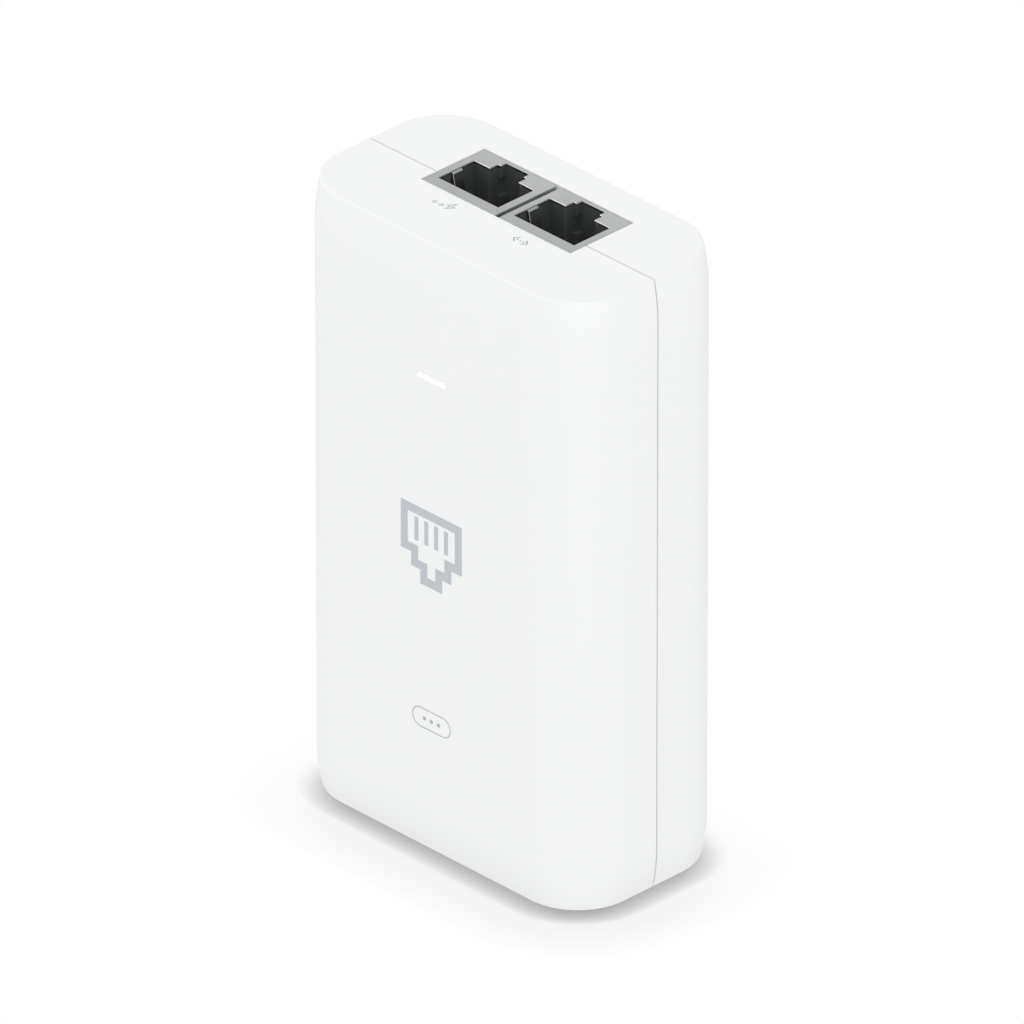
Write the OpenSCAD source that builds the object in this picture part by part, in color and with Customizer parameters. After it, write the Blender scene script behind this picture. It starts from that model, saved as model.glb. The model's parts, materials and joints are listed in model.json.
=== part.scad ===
// Mains-powered PoE injector: an upright two-shell case with two shielded
// sockets on top, a recessed AC inlet below and its power supply inside.
// Millimetres. X runs across the front face, -Y is the front, +Z is up.
// The origin is the centre of the bottom face.

/* [Case] */
// Width of the case
body_w = 62; // [60:1:80]
// Depth of the case, front to rear
body_d = 33.4; // [32.4:0.2:42]
// Height of the case
body_h = 104; // [103:1:130]
// Radius of the four upright corners
corner_r = 10.6; // [8.5:0.1:12.8]
// Thickness of the moulded walls
wall = 2.2; // [1.8:0.1:2.7]
// Height over which the walls curve in at each end
crown_h = 7; // [5.5:0.5:9]
// How far the walls have curved in at each end
crown_inset = 0.75; // [0.6:0.05:0.95]
// Radius of the edge between the walls and the end faces
edge_r = 0.35; // [0.25:0.05:0.45]
// Width of the seam between the two shells
seam_gap = 0.22; // [0.1:0.02:0.4]
// Length of the tongue that the rear shell pushes into the front shell
tongue_l = 1.6; // [1.3:0.1:2]
// Thickness of that tongue
tongue_t = 0.9; // [0.75:0.05:1.1]

/* [Case screws] */
// Distance of the screw posts from the side faces
post_inset = 9.5; // [9.2:0.1:10.2]
// Distance of the screw posts from the end faces
post_end = 8; // [7.4:0.2:9.6]
// Diameter of the screw posts on the front shell
post_d = 5.6; // [5:0.1:6.4]
// Diameter of the screw shank
screw_d = 2.9; // [2.4:0.1:3.4]
// Diameter of the screw head
screw_head_d = 5.4; // [4.6:0.1:5.8]
// Height of the screw head
screw_head_h = 2; // [1.6:0.1:2.4]
// Length of the screw shank
screw_l = 12; // [10:0.5:14]

/* [Status light] */
// Distance of the light below the top face
light_drop = 22.8; // [22.6:0.1:23.4]
// Length of the light on the front face
light_w = 6.25; // [5:0.25:7.5]
// Height of the light on the front face
light_h = 0.95; // [0.9:0.05:1.4]

/* [Sockets] */
// Width of one socket shield
jack_w = 15.25; // [14.6:0.05:18.5]
// Front edge of the shields, measured from the seam
jack_front = 3.2; // [3:0.05:3.5]
// Depth of the shields from front to board
jack_d = 12.95; // [12.6:0.05:13.6]
// Length of the shields, down into the case
jack_l = 20.6; // [20:0.1:21]
// Gap between the two shields
jack_gap = 0.82; // [0.4:0.05:1.2]
// Sheet thickness of the shields
shield_t = 0.25; // [0.2:0.05:0.3]
// Depth of the shield faces below the top face
jack_recess = 0.1; // [0.1:0.05:0.5]
// Width of the plug opening
plug_w = 12.75; // [12.2:0.05:12.9]
// Depth of the plug opening without its latch steps
plug_d = 7.4; // [7.2:0.05:7.7]
// How far a plug goes in
plug_l = 14; // [13:0.1:14.4]

/* [Socket contacts] */
// Distance between neighbouring contact wires
contact_pitch = 1.02; // [0.9:0.01:1.06]
// Thickness of a contact wire
contact_t = 0.4; // [0.33:0.01:0.45]
// Length of the sprung part of a contact wire
contact_l = 8.2; // [7:0.1:8.8]
// Resting angle of the sprung part
contact_angle = 20; // [17:0.5:23]
// Width of a ground spring
ground_w = 1.9; // [1.6:0.1:2.2]

/* [AC inlet] */
// Width of the inlet
inlet_w = 27; // [25.6:0.1:29]
// Depth of the inlet, front to board
inlet_d = 19.6; // [18.8:0.1:20.4]
// Length of the inlet, up into the case
inlet_l = 22; // [19.5:0.1:22.4]
// Width of the inlet's cavity
cavity_w = 24.6; // [23.5:0.1:24.8]
// Depth of the inlet's cavity, front to rear
cavity_d = 16.6; // [15.8:0.1:17]
// Length of the inlet's cavity
cavity_l = 16.4; // [15:0.1:17.5]
// Distance between the two power pins
pin_pitch = 14; // [13.4:0.1:14.6]

/* [Board] */
// Thickness of the circuit board
board_t = 1.6; // [1.2:0.1:2]
// Diameter of the component legs
leg_d = 0.7; // [0.5:0.05:0.9]
// Thickness of the heat spreader
spreader_t = 1; // [0.8:0.1:1.2]
// Diameter of the bulk capacitor
bulk_d = 16; // [13:0.5:16.4]
// Length of the bulk capacitor
bulk_l = 30; // [25:0.5:30.6]
// Height of the transformer core
core_h = 16.5; // [14:0.5:17.5]

/* [Hidden] */
$fn = 64;

eps = 0.01;
cut = 1;                  // how far a cutter reaches past the wall it cuts
fit = 0.05;               // clearance of parts that slide together
loose = 0.1;              // clearance round a drop-in part
left = -1;
right = 1;

// Case
crown_steps = 5;
edge_steps = 3;
inner_r = corner_r - wall;
inner_front = -body_d/2 + wall;
inner_rear = body_d/2 - wall;
straight_w = body_w - 2*corner_r;
straight_d = body_d/2 - corner_r;
edge_slope = atan(2*crown_inset/(crown_h - edge_r));
edge_z = edge_r*(1 - sin(edge_slope));

// Board, which the sockets stand on with their rear side
board_y = jack_d - jack_front;
board_rear = board_y + board_t;
board_w = body_w - 9.6;
board_low = 2.8;
board_high = body_h - 2.8;
leg_out = 1;              // how far a leg shows behind the board
leg_hole_d = leg_d + 0.2;
pin_hole_d = 1.8;

// Case screws
rear_post_d = screw_head_d + 3.4;
jacks_edge = jack_w + jack_gap/2;            // how far out the two sockets reach
post_x = max(body_w/2 - post_inset, jacks_edge + rear_post_d/2 + loose);
post_spots = [for (x = [-post_x, post_x], z = [post_end, body_h - post_end]) [x, z]];
post_floor = 1.8;
head_hole_d = screw_head_d + 0.8;
head_y = board_rear + post_floor;
board_hole_d = screw_d + 0.5;
screw_hole_l = 1.2;       // spare depth beyond the screw's tip
driver_w = 0.8;
driver_l = 3;
driver_deep = 1.1;

// Status light
light_z = body_h - light_drop;
light_back_h = light_h + 0.85;
light_flange = 1.4;
light_flange_t = 1.2;
led_size = [3.5, 2.8, 1.1];
led_gap = 0.2;

// Sockets
window_gap = 0.12;
jack_pitch = jack_w + jack_gap;
window_w = jack_pitch + jack_w + 0.32;
jack_top = body_h - jack_recess;
plug_y = jack_front - 2.14;                  // contact side of the plug opening
step_w = [6.1, 4.87];                        // widths of the two latch steps
step_y = [plug_d + 1.71, plug_d + 2.75];     // their reach, from the contact side
catch_l = 2.2;                               // thickness of the catches at the latch steps
ledge_z = 5.1;                               // depth of the ledges in the latch channel
ledge_size = [0.9, 1.4];
housing_gap = 0.3;
housing_l = 16.2;
housing_w = jack_w - 2*(shield_t + fit);
housing_back = jack_d - jack_front - shield_t - fit;
collar_l = 4;                                // length of the shield's closed collar
peg_d = 3;
peg_l = 2.2;
peg_x = 5.715;
peg_z = -9;
tab_size = [shield_t, 2.8, 1.6];
tab_z = -12;
contacts = 8;
bend_y = 0.8;                                // radius of the contact wires' bend
bend_z = -3.4;
terminal_y = -jack_front + shield_t + 0.5;
contact_y = terminal_y + 2*bend_y;
pivot_gap = 0.25;
pivot_z = bend_z - pivot_gap;
channel_w = contacts*contact_pitch + 0.44;
channel_out = 0.25;
window_z = [-4.6, -1.6];
leg_rows = [-17.2, -19.2];
ground_y = 2.65;
ground_t = 0.2;
ground_bulge = 0.35;
ground_roll = 0.14;                          // radius of a ground spring's rolled end
ground_z = [-ground_roll, -4.2, -7];
ground_pivot = plug_w/2 + ground_t/2;
ground_slot_l = 8.6;
ground_slot_w = ground_w + 0.4;

// AC inlet
inlet_recess = 0.3;
inlet_gap = 0.15;
inlet_y = board_y - inlet_d/2;
flange_out = 1.2;
flange_t = 1.5;
cavity_chamfer = 4.2;
pin_size = [2, 4];
pin_offset = 2;
pin_tip = inlet_recess + 1.2;
pin_leg_z = inlet_recess + inlet_l + 1.9;
pin_leg_t = 1;
pin_spots = [[-pin_pitch/2, pin_offset], [0, -pin_offset], [pin_pitch/2, pin_offset]];

// Heat spreader, sheets and label
spreader_size = [38, 52];
spreader_z = 52;
spreader_y = inner_front + spreader_t;
stake_d = 2;
stake_spots = [for (x = [-16.5, 16.5], z = [-24.3, 24.3]) [x, spreader_z + z]];
stake_l = 0.6;
pad_size = [18, 9];
sheet_t = 0.4;
sheet_size = [39, body_h - 26];
label_size = [36, 50];
label_r = 2;
label_deep = 0.3;
label_t = 0.2;

// Components: their place on the board, in X and Z, and their legs round it
output_cap_d = 8;
inductor_d = 8;
fuse_at = [17.4, 17];
varistor_at = [-17.4, 17];
choke_at = [-15.6, 35.6];
y_capacitor_at = [-1.3, 33];
thermistor_at = [-1.3, 40];
x_capacitor_at = [13.6, 31];
bridge_at = [13.6, 40];
bulk_at = [-9.5, 52.6];
primary_sink_at = [11.5, 54];
transformer_at = [-10.6, 70.2];
secondary_sink_at = [11.5, 63];
optocoupler_at = [5.6, 73];
magnetics_at = [12.3, 74.6];
output_cap_x = jacks_edge + output_cap_d/2 + 1.065;
output_cap_rows = [0, 9];
output_cap_z = body_h - 28.5;
inductor_at = [-jacks_edge - inductor_d/2 - 0.865, body_h - 18];
poe_chip_at = [20.5, 68];
primary_chip_at = [-12, 56];

fuse_size = [4, 8.4, 8];
fuse_legs = [[0, -2.54], [0, 2.54]];
varistor_d = 10;
varistor_t = 4;
varistor_legs = [[0.6, -3.75], [-0.6, 3.75]];
y_capacitor_d = 8;
y_capacitor_t = 3.6;
y_capacitor_legs = [[-2.5, 0], [2.5, 0]];
thermistor_d = 8;
thermistor_t = 3.8;
thermistor_legs = [[-2.5, 0], [2.5, 0]];
x_capacitor_size = [18, 8.5, 14.5];
x_capacitor_legs = [[-7.5, 0], [7.5, 0]];
choke_base_size = [18, 18, 1.5];
choke_r = [3.8, 7.8];
choke_ring_h = 7;
choke_wind_t = 1.1;
choke_sector = 140;
choke_legs = [for (x = [-4.6, 4.6], z = [-3.6, 3.6]) [x, z]];
bridge_size = [15, 3.6, 11];
bridge_legs = [for (i = [-1.5:1:1.5]) [i*3.81, 0]];
bulk_leg_pitch = 7.5;
bulk_leg_out = 2.2;
bulk_lift = 0.15;
sink_t = 2;
sink_lift = 0.5;
sink_size = [16, 19];
sink_legs = [[-5.5, 0], [5.5, 0]];
tab_w = 10;
tab_t = 1.3;
tab_h = 15.6;
package_t = 4.5;
package_h = 9.2;
package_lift = 4;
tab_hole_h = 12.8;
tab_hole_d = 3.2;
package_legs = [for (i = [-1:1]) [i*2.54, 2.6]];
bobbin_base = [26, 18, 3];
bobbin_lift = 0.5;
bobbin_legs = [for (z = [-7.6, 7.6], i = [-2.5:1:2.5]) [i*3.8, z]];
core_size = [26, 12, core_h];
core_leg = 3.2;
core_mid = 7.6;
core_bottom = bobbin_lift + bobbin_base[2];
core_window = (core_size[0] - 2*core_leg - core_mid)/2;
spool_t = 1;
spool_flange = [19.4, 17.6];
winding_size = [19, 17];
optocoupler_size = [4.6, 6.4, 3.4];
optocoupler_legs = [for (x = [-1.27, 1.27], z = [-2.6, 2.6]) [x, z]];
magnetics_size = [8.4, 11.4, 5.8];
magnetics_legs = [for (x = [-3.4, 3.4], i = [-2:2]) [x, i*2.3]];
output_cap_l = 16;
output_cap_legs = [[-1.75, 0], [1.75, 0]];
inductor_h = 9;
inductor_legs = [[-2, 0], [2, 0]];
poe_chip_size = [6, 6, 0.9];
primary_chip_size = [5, 6, 1.5];

// Every set of round legs that goes through the board: its place and its legs
leg_sets = concat(
    [
        [fuse_at, fuse_legs], [varistor_at, varistor_legs], [choke_at, choke_legs],
        [y_capacitor_at, y_capacitor_legs], [thermistor_at, thermistor_legs],
        [x_capacitor_at, x_capacitor_legs], [bridge_at, bridge_legs],
        [transformer_at, bobbin_legs], [optocoupler_at, optocoupler_legs],
        [magnetics_at, magnetics_legs], [inductor_at, inductor_legs],
        [secondary_sink_at, sink_legs], [secondary_sink_at, package_row()],
        [primary_sink_at, turned(sink_legs)], [primary_sink_at, turned(package_row())],
        [bulk_leg_at(), [for (z = [-0.5, 0.5]) [0, z*bulk_leg_pitch]]],
    ],
    [for (z = output_cap_rows) [[output_cap_x, output_cap_z + z], output_cap_legs]]
);

function turned(spots) = [for (p = spots) [p[1], -p[0]]];
function package_row() = [for (p = package_legs) [p[0], p[1] + sink_t/2]];
function bulk_leg_at() = [bulk_at[0] + bulk_l/2 + bulk_leg_out, bulk_at[1]];
function jack_x(side) = side*jack_pitch/2;
function contact_x(i) = (i - (contacts - 1)/2)*contact_pitch;

// Half of the wall's outline, from the corner's centre outwards: [radius, height]
function crown_end() = concat(
    [for (i = [0:crown_steps]) let (t = i/crown_steps)
        [corner_r - crown_inset*t*t, crown_h - (crown_h - edge_z)*t]],
    [for (i = [1:edge_steps]) let (a = edge_slope + (90 - edge_slope)*i/edge_steps)
        [corner_r - crown_inset - edge_r*(cos(edge_slope) - cos(a)), edge_r*(1 - sin(a))]]
);
function crown_flip(points) = [for (i = [len(points) - 1:-1:0]) points[i]];
function crown_outline() = concat(
    [[0, 0]],
    crown_flip(crown_end()),
    [for (p = crown_end()) [p[0], body_h - p[1]]],
    [[0, body_h]]
);

// ---- shared shapes ----

module rounded_rect(w, d, r) {
    square([w - 2*r, d], center = true);
    square([w, d - 2*r], center = true);
    for (x = [-1, 1], y = [-1, 1])
        translate([x*(w/2 - r), y*(d/2 - r)]) circle(r);
}

module stadium(w, h) {
    square([w - h, h], center = true);
    for (x = [-1, 1]) translate([x*(w - h)/2, 0]) circle(h/2);
}

// A 2D outline in X and Z, made solid from y_from to y_to
module along_y(y_from, y_to) {
    translate([0, y_to, 0]) rotate([90, 0, 0]) linear_extrude(y_to - y_from) children();
}

// A 2D outline in Y and Z, made solid over a width in X
module along_x(w) {
    rotate([90, 0, 90]) linear_extrude(w, center = true) children();
}

// A place on the board: X, Y up the board, Z out of its front face
module on_board(at, turn = 0) {
    translate([at[0], board_y, at[1]]) rotate([90, 0, 0]) rotate([0, 0, turn]) children();
}

module behind_board(at) {
    translate([at[0], board_rear, at[1]]) rotate([-90, 0, 0]) children();
}

module legs(spots, rise) {
    for (p = spots)
        translate([p[0], p[1], -board_t - leg_out])
            cylinder(d = leg_d, h = board_t + leg_out + rise);
}

// A box that stands on the board, centred on its place
module block(size, lift = 0) {
    translate([-size[0]/2, -size[1]/2, lift]) cube(size);
}

// A disc standing on its edge on two legs, its flat sides facing local Y
module disc_part(d, t, spots) {
    lift = 1;
    translate([0, t/2, lift + d/2]) rotate([90, 0, 0]) cylinder(d = d, h = t);
    legs(spots, lift + d/2);
}

// ---- case ----

module crown_slab(length) {
    linear_extrude(length) polygon(crown_outline());
}

module crown_corner() {
    rotate_extrude(angle = 90) polygon(crown_outline());
}

// The outer form of one shell, from the seam to its own face
module half_form(side) {
    mirror([0, side < 0 ? 1 : 0, 0]) {
        translate([-straight_w/2, seam_gap/2, 0])
            cube([straight_w, straight_d - seam_gap/2, body_h]);
        translate([-straight_w/2, straight_d, 0])
            rotate([90, 0, 90]) crown_slab(straight_w);
        for (x = [0, 1]) mirror([x, 0, 0]) {
            translate([straight_w/2, straight_d, 0])
                rotate([90, 0, 0]) crown_slab(straight_d - seam_gap/2);
            translate([straight_w/2, straight_d, 0]) crown_corner();
        }
    }
}

module case_cavity() {
    translate([0, 0, wall]) linear_extrude(body_h - 2*wall)
        rounded_rect(body_w - 2*wall, body_d - 2*wall, inner_r);
}

// The space within the middle of the walls, which ends ribs and posts
module wall_core() {
    translate([0, 0, wall/2]) linear_extrude(body_h - wall)
        rounded_rect(body_w - wall, body_d - wall, corner_r - wall/2);
}

// A frame that follows the walls in X and Z, grown outwards from the cavity
module seam_frame(grow, y_from, y_to) {
    difference() {
        along_y(y_from, y_to) translate([0, body_h/2])
            square([body_w - 2*(wall - grow), body_h - 2*(wall - grow)], center = true);
        along_y(y_from - cut, y_to + cut) translate([0, body_h/2])
            square([body_w - 2*wall, body_h - 2*wall], center = true);
    }
}

module socket_window() {
    translate([-window_w/2, -jack_front - window_gap, body_h - 2*wall])
        cube([window_w, jack_d + 2*window_gap, 3*wall]);
}

module inlet_window() {
    translate([-inlet_w/2 - inlet_gap, board_y - inlet_d - inlet_gap, -cut])
        cube([inlet_w + 2*inlet_gap, inlet_d + 2*inlet_gap, wall + 2*cut]);
}

module front_shell() color("white") difference() {
    union() {
        difference() {
            half_form(-1);
            case_cavity();
        }
        intersection() {
            wall_core();
            for (p = post_spots) translate([p[0], board_y, p[1]])
                rotate([90, 0, 0]) cylinder(d = post_d, h = body_d);
        }
        for (p = stake_spots) translate([p[0], spreader_y + stake_l, p[1]])
            rotate([90, 0, 0]) cylinder(d = stake_d, h = spreader_t + stake_l + wall/2);
    }
    seam_frame(tongue_t + fit, -tongue_l, cut);
    socket_window();
    inlet_window();
    along_y(-body_d, inner_front + cut) translate([0, light_z]) stadium(light_w, light_h);
    for (p = post_spots) translate([p[0], board_y + cut, p[1]])
        rotate([90, 0, 0])
            cylinder(d = screw_d + 2*fit, h = screw_l - post_floor - board_t + screw_hole_l + cut);
}

module rear_shell() color("white") difference() {
    union() {
        difference() {
            half_form(1);
            case_cavity();
        }
        seam_frame(tongue_t, -tongue_l, 2*tongue_t);
        intersection() {
            wall_core();
            for (p = post_spots) translate([p[0], body_d/2, p[1]])
                rotate([90, 0, 0]) cylinder(d = rear_post_d, h = body_d/2 - board_rear);
        }
    }
    socket_window();
    inlet_window();
    for (p = post_spots) translate([p[0], 0, p[1]]) rotate([-90, 0, 0]) {
        cylinder(d = screw_d + 2*loose, h = body_d);
        translate([0, 0, head_y]) cylinder(d = head_hole_d, h = body_d);
    }
    along_y(body_d/2 - label_deep, body_d/2 + cut) translate([0, body_h/2])
        rounded_rect(label_size[0] + 2*loose, label_size[1] + 2*loose, label_r + loose);
}

module case_screws() color("dimgray") for (p = post_spots)
    translate([p[0], head_y, p[1]]) rotate([-90, 0, 0]) difference() {
        union() {
            translate([0, 0, -screw_l]) cylinder(d = screw_d, h = screw_l + eps);
            cylinder(d = screw_head_d, h = screw_head_h);
        }
        for (turn = [0, 90]) rotate([0, 0, turn])
            translate([-driver_l/2, -driver_w/2, screw_head_h - driver_deep])
                cube([driver_l, driver_w, driver_deep + cut]);
    }

module rating_label() color("gainsboro")
    along_y(body_d/2 - label_deep, body_d/2 - label_deep + label_t)
        translate([0, body_h/2]) rounded_rect(label_size[0], label_size[1], label_r);

module light_pipe() color("white") {
    along_y(-body_d/2, inner_front + eps) translate([0, light_z])
        stadium(light_w - 2*fit, light_h - 2*fit);
    along_y(inner_front, inner_front + light_flange_t) translate([0, light_z])
        square([light_w + 2*light_flange, light_back_h], center = true);
    along_y(inner_front + eps, board_y - led_size[2] - led_gap) translate([0, light_z])
        square([light_w, light_back_h], center = true);
}

module status_led() color("ivory") on_board([0, light_z]) block(led_size);

module rear_insulator() color("whitesmoke")
    along_y(inner_rear - sheet_t, inner_rear) translate([0, body_h/2])
        square(sheet_size, center = true);

module heat_spreader() color("silver")
    along_y(inner_front, spreader_y) difference() {
        translate([0, spreader_z]) square(spreader_size, center = true);
        for (p = stake_spots) translate(p) circle(d = stake_d + 2*fit);
    }

// The pad fills the space between the transformer and the spreader
module thermal_pad() color("slategray") on_board(transformer_at)
    block([pad_size[0], pad_size[1], board_y - spreader_y - core_bottom - core_h],
        core_bottom + core_h);

// ---- board ----

module circuit_board() color("darkgreen") difference() {
    along_y(board_y, board_rear) translate([0, (board_low + board_high)/2])
        square([board_w, board_high - board_low], center = true);
    for (p = post_spots) board_hole(p, board_hole_d);
    for (set = leg_sets, p = set[1]) board_hole(set[0] + p, leg_hole_d);
    for (p = pin_spots) board_hole([p[0], pin_leg_z], pin_hole_d);
    for (side = [left, right]) {
        for (x = [-peg_x, peg_x])
            board_hole([jack_x(side) + x, jack_top + peg_z], peg_d + 2*loose);
        for (i = [0:contacts - 1])
            board_hole([jack_x(side) + contact_x(i), jack_top + leg_rows[i % 2]], 2*contact_t);
        for (x = [-1, 1])
            translate([jack_x(side) + x*(jack_w - shield_t)/2, board_y + board_t/2, jack_top + tab_z])
                cube([0.6, board_t + cut, tab_size[2] + 0.4], center = true);
    }
}

module board_hole(at, d) {
    translate([at[0], board_y - cut, at[1]]) rotate([-90, 0, 0])
        cylinder(d = d, h = board_t + 2*cut);
}

// ---- AC inlet ----

module inlet_cavity_outline(w, d, chamfer) {
    polygon([
        [-w/2, d/2], [w/2, d/2], [w/2, -d/2 + chamfer],
        [w/2 - chamfer, -d/2], [-w/2 + chamfer, -d/2], [-w/2, -d/2 + chamfer],
    ]);
}

module inlet_housing() color("#26272a") difference() {
    union() {
        translate([-inlet_w/2, board_y - inlet_d, inlet_recess])
            cube([inlet_w, inlet_d, inlet_l]);
        translate([-inlet_w/2 - flange_out, board_y - inlet_d - flange_out, wall])
            cube([inlet_w + 2*flange_out, inlet_d + flange_out, flange_t]);
    }
    translate([0, inlet_y, inlet_recess - cut]) linear_extrude(cavity_l + cut)
        inlet_cavity_outline(cavity_w, cavity_d, cavity_chamfer);
    for (p = pin_spots) translate([p[0], inlet_y + p[1], inlet_recess + inlet_l/2])
        cube([pin_size[0], pin_size[1], 2*inlet_l], center = true);
}

module inlet_pins() color("silver") for (p = pin_spots) {
    translate([p[0] - pin_size[0]/2, inlet_y + p[1] - pin_size[1]/2, pin_tip])
        cube([pin_size[0], pin_size[1], pin_leg_z + pin_leg_t/2 - pin_tip]);
    translate([p[0] - pin_leg_t/2, inlet_y + p[1], pin_leg_z - pin_leg_t/2])
        cube([pin_leg_t, board_rear + leg_out - inlet_y - p[1], pin_leg_t]);
}

// ---- mains side ----

module fuse() color("saddlebrown") on_board(fuse_at) {
    block(fuse_size);
    legs(fuse_legs, 1);
}

module varistor() color("royalblue") on_board(varistor_at, 90)
    disc_part(varistor_d, varistor_t, [for (p = varistor_legs) [p[1], -p[0]]]);

module y_capacitor() color("steelblue") on_board(y_capacitor_at)
    disc_part(y_capacitor_d, y_capacitor_t, y_capacitor_legs);

module thermistor() color("darkolivegreen") on_board(thermistor_at)
    disc_part(thermistor_d, thermistor_t, thermistor_legs);

module x_capacitor() color("gold") on_board(x_capacitor_at) {
    block(x_capacitor_size);
    legs(x_capacitor_legs, 1);
}

module choke_base() color("#26272a") on_board(choke_at) difference() {
    block(choke_base_size);
    for (p = choke_legs) translate([p[0], p[1], -cut])
        cylinder(d = leg_hole_d, h = choke_base_size[2] + 2*cut);
}

// The ring core's section, grown by a margin
module choke_ring_outline(grow = 0) {
    translate([choke_r[0] - grow, choke_base_size[2] + choke_wind_t - grow])
        square([choke_r[1] - choke_r[0] + 2*grow, choke_ring_h + 2*grow]);
}

module choke_core() color("darkslategray") on_board(choke_at)
    rotate_extrude() choke_ring_outline();

module choke_windings() color("#b4602c") on_board(choke_at) {
    difference() {
        for (turn = [0, 180]) rotate([0, 0, turn - choke_sector/2])
            rotate_extrude(angle = choke_sector)
                translate([choke_r[0] - choke_wind_t, choke_base_size[2]])
                    square([choke_r[1] - choke_r[0] + 2*choke_wind_t, choke_ring_h + 2*choke_wind_t]);
        rotate_extrude() choke_ring_outline(loose);
    }
    legs(choke_legs, choke_base_size[2] + choke_wind_t/2);
}

module bridge_rectifier() color("#26272a") on_board(bridge_at) {
    block(bridge_size, 2.5);
    legs(bridge_legs, 3);
}

// The bulk capacitor lies on the board, and its legs bend down at one end
module bulk_capacitor() color("midnightblue") on_board(bulk_at) {
    axis_h = bulk_d/2 + bulk_lift;
    translate([-bulk_l/2, 0, axis_h]) rotate([0, 90, 0]) cylinder(d = bulk_d, h = bulk_l);
    for (z = [-0.5, 0.5]) translate([bulk_l/2 + bulk_leg_out, z*bulk_leg_pitch, 0]) {
        translate([-bulk_leg_out - 1, -leg_d/4, axis_h - leg_d/4])
            cube([bulk_leg_out + 1 + leg_d/4, leg_d/2, leg_d/2]);
        translate([-leg_d/4, -leg_d/4, -board_t - leg_out])
            cube([leg_d/2, leg_d/2, axis_h + board_t + leg_out + leg_d/4]);
    }
}

// ---- power packages on heatsinks: the plate stands along local X ----

module heatsink() difference() {
    union() {
        block([sink_size[0], sink_t, sink_size[1]], sink_lift);
        legs(sink_legs, sink_lift + 1);
    }
    translate([0, sink_t/2 + cut, package_lift + tab_hole_h])
        rotate([90, 0, 0]) cylinder(d = tab_hole_d, h = sink_t + 2*cut);
}

module power_package() {
    difference() {
        union() {
            translate([-tab_w/2, sink_t/2, package_lift]) cube([tab_w, tab_t, tab_h]);
            translate([-tab_w/2, sink_t/2, package_lift]) cube([tab_w, package_t, package_h]);
        }
        translate([0, sink_t/2 + package_t, package_lift + tab_hole_h])
            rotate([90, 0, 0]) cylinder(d = tab_hole_d, h = 2*package_t);
    }
    legs(package_row(), package_lift + 1);
}

module sink_screw() translate([0, sink_t/2 + tab_t, package_lift + tab_hole_h])
    rotate([-90, 0, 0]) {
        translate([0, 0, -tab_t - sink_t]) cylinder(d = tab_hole_d - 2*loose, h = tab_t + sink_t + eps);
        cylinder(d = screw_head_d, h = 1.8);
    }

module primary_heatsink() color("silver") on_board(primary_sink_at, -90) heatsink();

module switching_transistor() color("#26272a") on_board(primary_sink_at, -90) power_package();

module secondary_heatsink() color("silver") on_board(secondary_sink_at) heatsink();

module output_rectifier() color("#26272a") on_board(secondary_sink_at) power_package();

module heatsink_screws() color("dimgray") {
    on_board(primary_sink_at, -90) sink_screw();
    on_board(secondary_sink_at) sink_screw();
}

// ---- transformer ----

module transformer_core() color("darkslategray") on_board(transformer_at) difference() {
    block(core_size, core_bottom);
    for (x = [-1, 1]) translate([x*(core_mid + core_window)/2, 0, 0])
        block([core_window, core_size[1] + 2*cut, core_h - 2*core_leg], core_bottom + core_leg);
}

module transformer_bobbin() color("#26272a") on_board(transformer_at) {
    spool_low = core_bottom + core_leg;
    spool_h = core_h - 2*core_leg;
    block(bobbin_base, bobbin_lift);
    for (y = [-1, 1]) translate([0, y*(core_size[1]/2 + 2.2), 0])
        block([spool_flange[0], 2, core_leg + spool_t + eps], core_bottom - eps);
    difference() {
        union() {
            block([core_mid + 2*spool_t, core_size[1] + 2*spool_t, spool_h], spool_low);
            for (h = [0, spool_h - spool_t])
                block([spool_flange[0], spool_flange[1], spool_t], spool_low + h);
        }
        block([core_mid, core_size[1], core_h], spool_low - cut);
    }
    legs(bobbin_legs, bobbin_lift + 1);
}

module transformer_windings() color("goldenrod") on_board(transformer_at) difference() {
    wind_low = core_bottom + core_leg + spool_t;
    wind_h = core_h - 2*core_leg - 2*spool_t;
    block([winding_size[0], winding_size[1], wind_h], wind_low);
    block([core_mid + 2*spool_t, core_size[1] + 2*spool_t, core_h], wind_low - cut);
}

// ---- output side ----

module optocoupler() color("white") on_board(optocoupler_at) {
    block(optocoupler_size, 0.5);
    legs(optocoupler_legs, 1);
}

module output_capacitors() color("midnightblue") for (z = output_cap_rows)
    on_board([output_cap_x, output_cap_z + z]) {
        translate([0, 0, 0.3]) cylinder(d = output_cap_d, h = output_cap_l);
        legs(output_cap_legs, 1);
    }

module output_inductor() color("#b4602c") on_board(inductor_at) {
    translate([0, 0, 0.3]) rotate_extrude() polygon([
        [0, 0], [inductor_d/2, 0], [inductor_d/2, 1.5], [inductor_d/2 - 0.6, 1.5],
        [inductor_d/2 - 0.6, inductor_h - 1.5], [inductor_d/2, inductor_h - 1.5],
        [inductor_d/2, inductor_h], [0, inductor_h],
    ]);
    legs(inductor_legs, 1);
}

module lan_magnetics() color("#26272a") on_board(magnetics_at) {
    block(magnetics_size, 0.4);
    legs(magnetics_legs, 1);
}

module poe_controller() color("#26272a") behind_board(poe_chip_at) block(poe_chip_size);

module primary_controller() color("#26272a") behind_board(primary_chip_at)
    block(primary_chip_size);

// ---- sockets ----

// A socket's own place: X from its middle, Y as in the case, Z down from its face
module at_socket(side) {
    translate([jack_x(side), 0, jack_top]) children();
}

// The plug opening with its two latch steps, grown by a margin
module plug_outline(grow = 0) {
    translate([-plug_w/2 - grow, -plug_y - grow]) square([plug_w + 2*grow, plug_d + 2*grow]);
    for (i = [0, 1]) translate([-step_w[i]/2 - grow, -plug_y])
        square([step_w[i] + 2*grow, step_y[i] + grow]);
}

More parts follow.
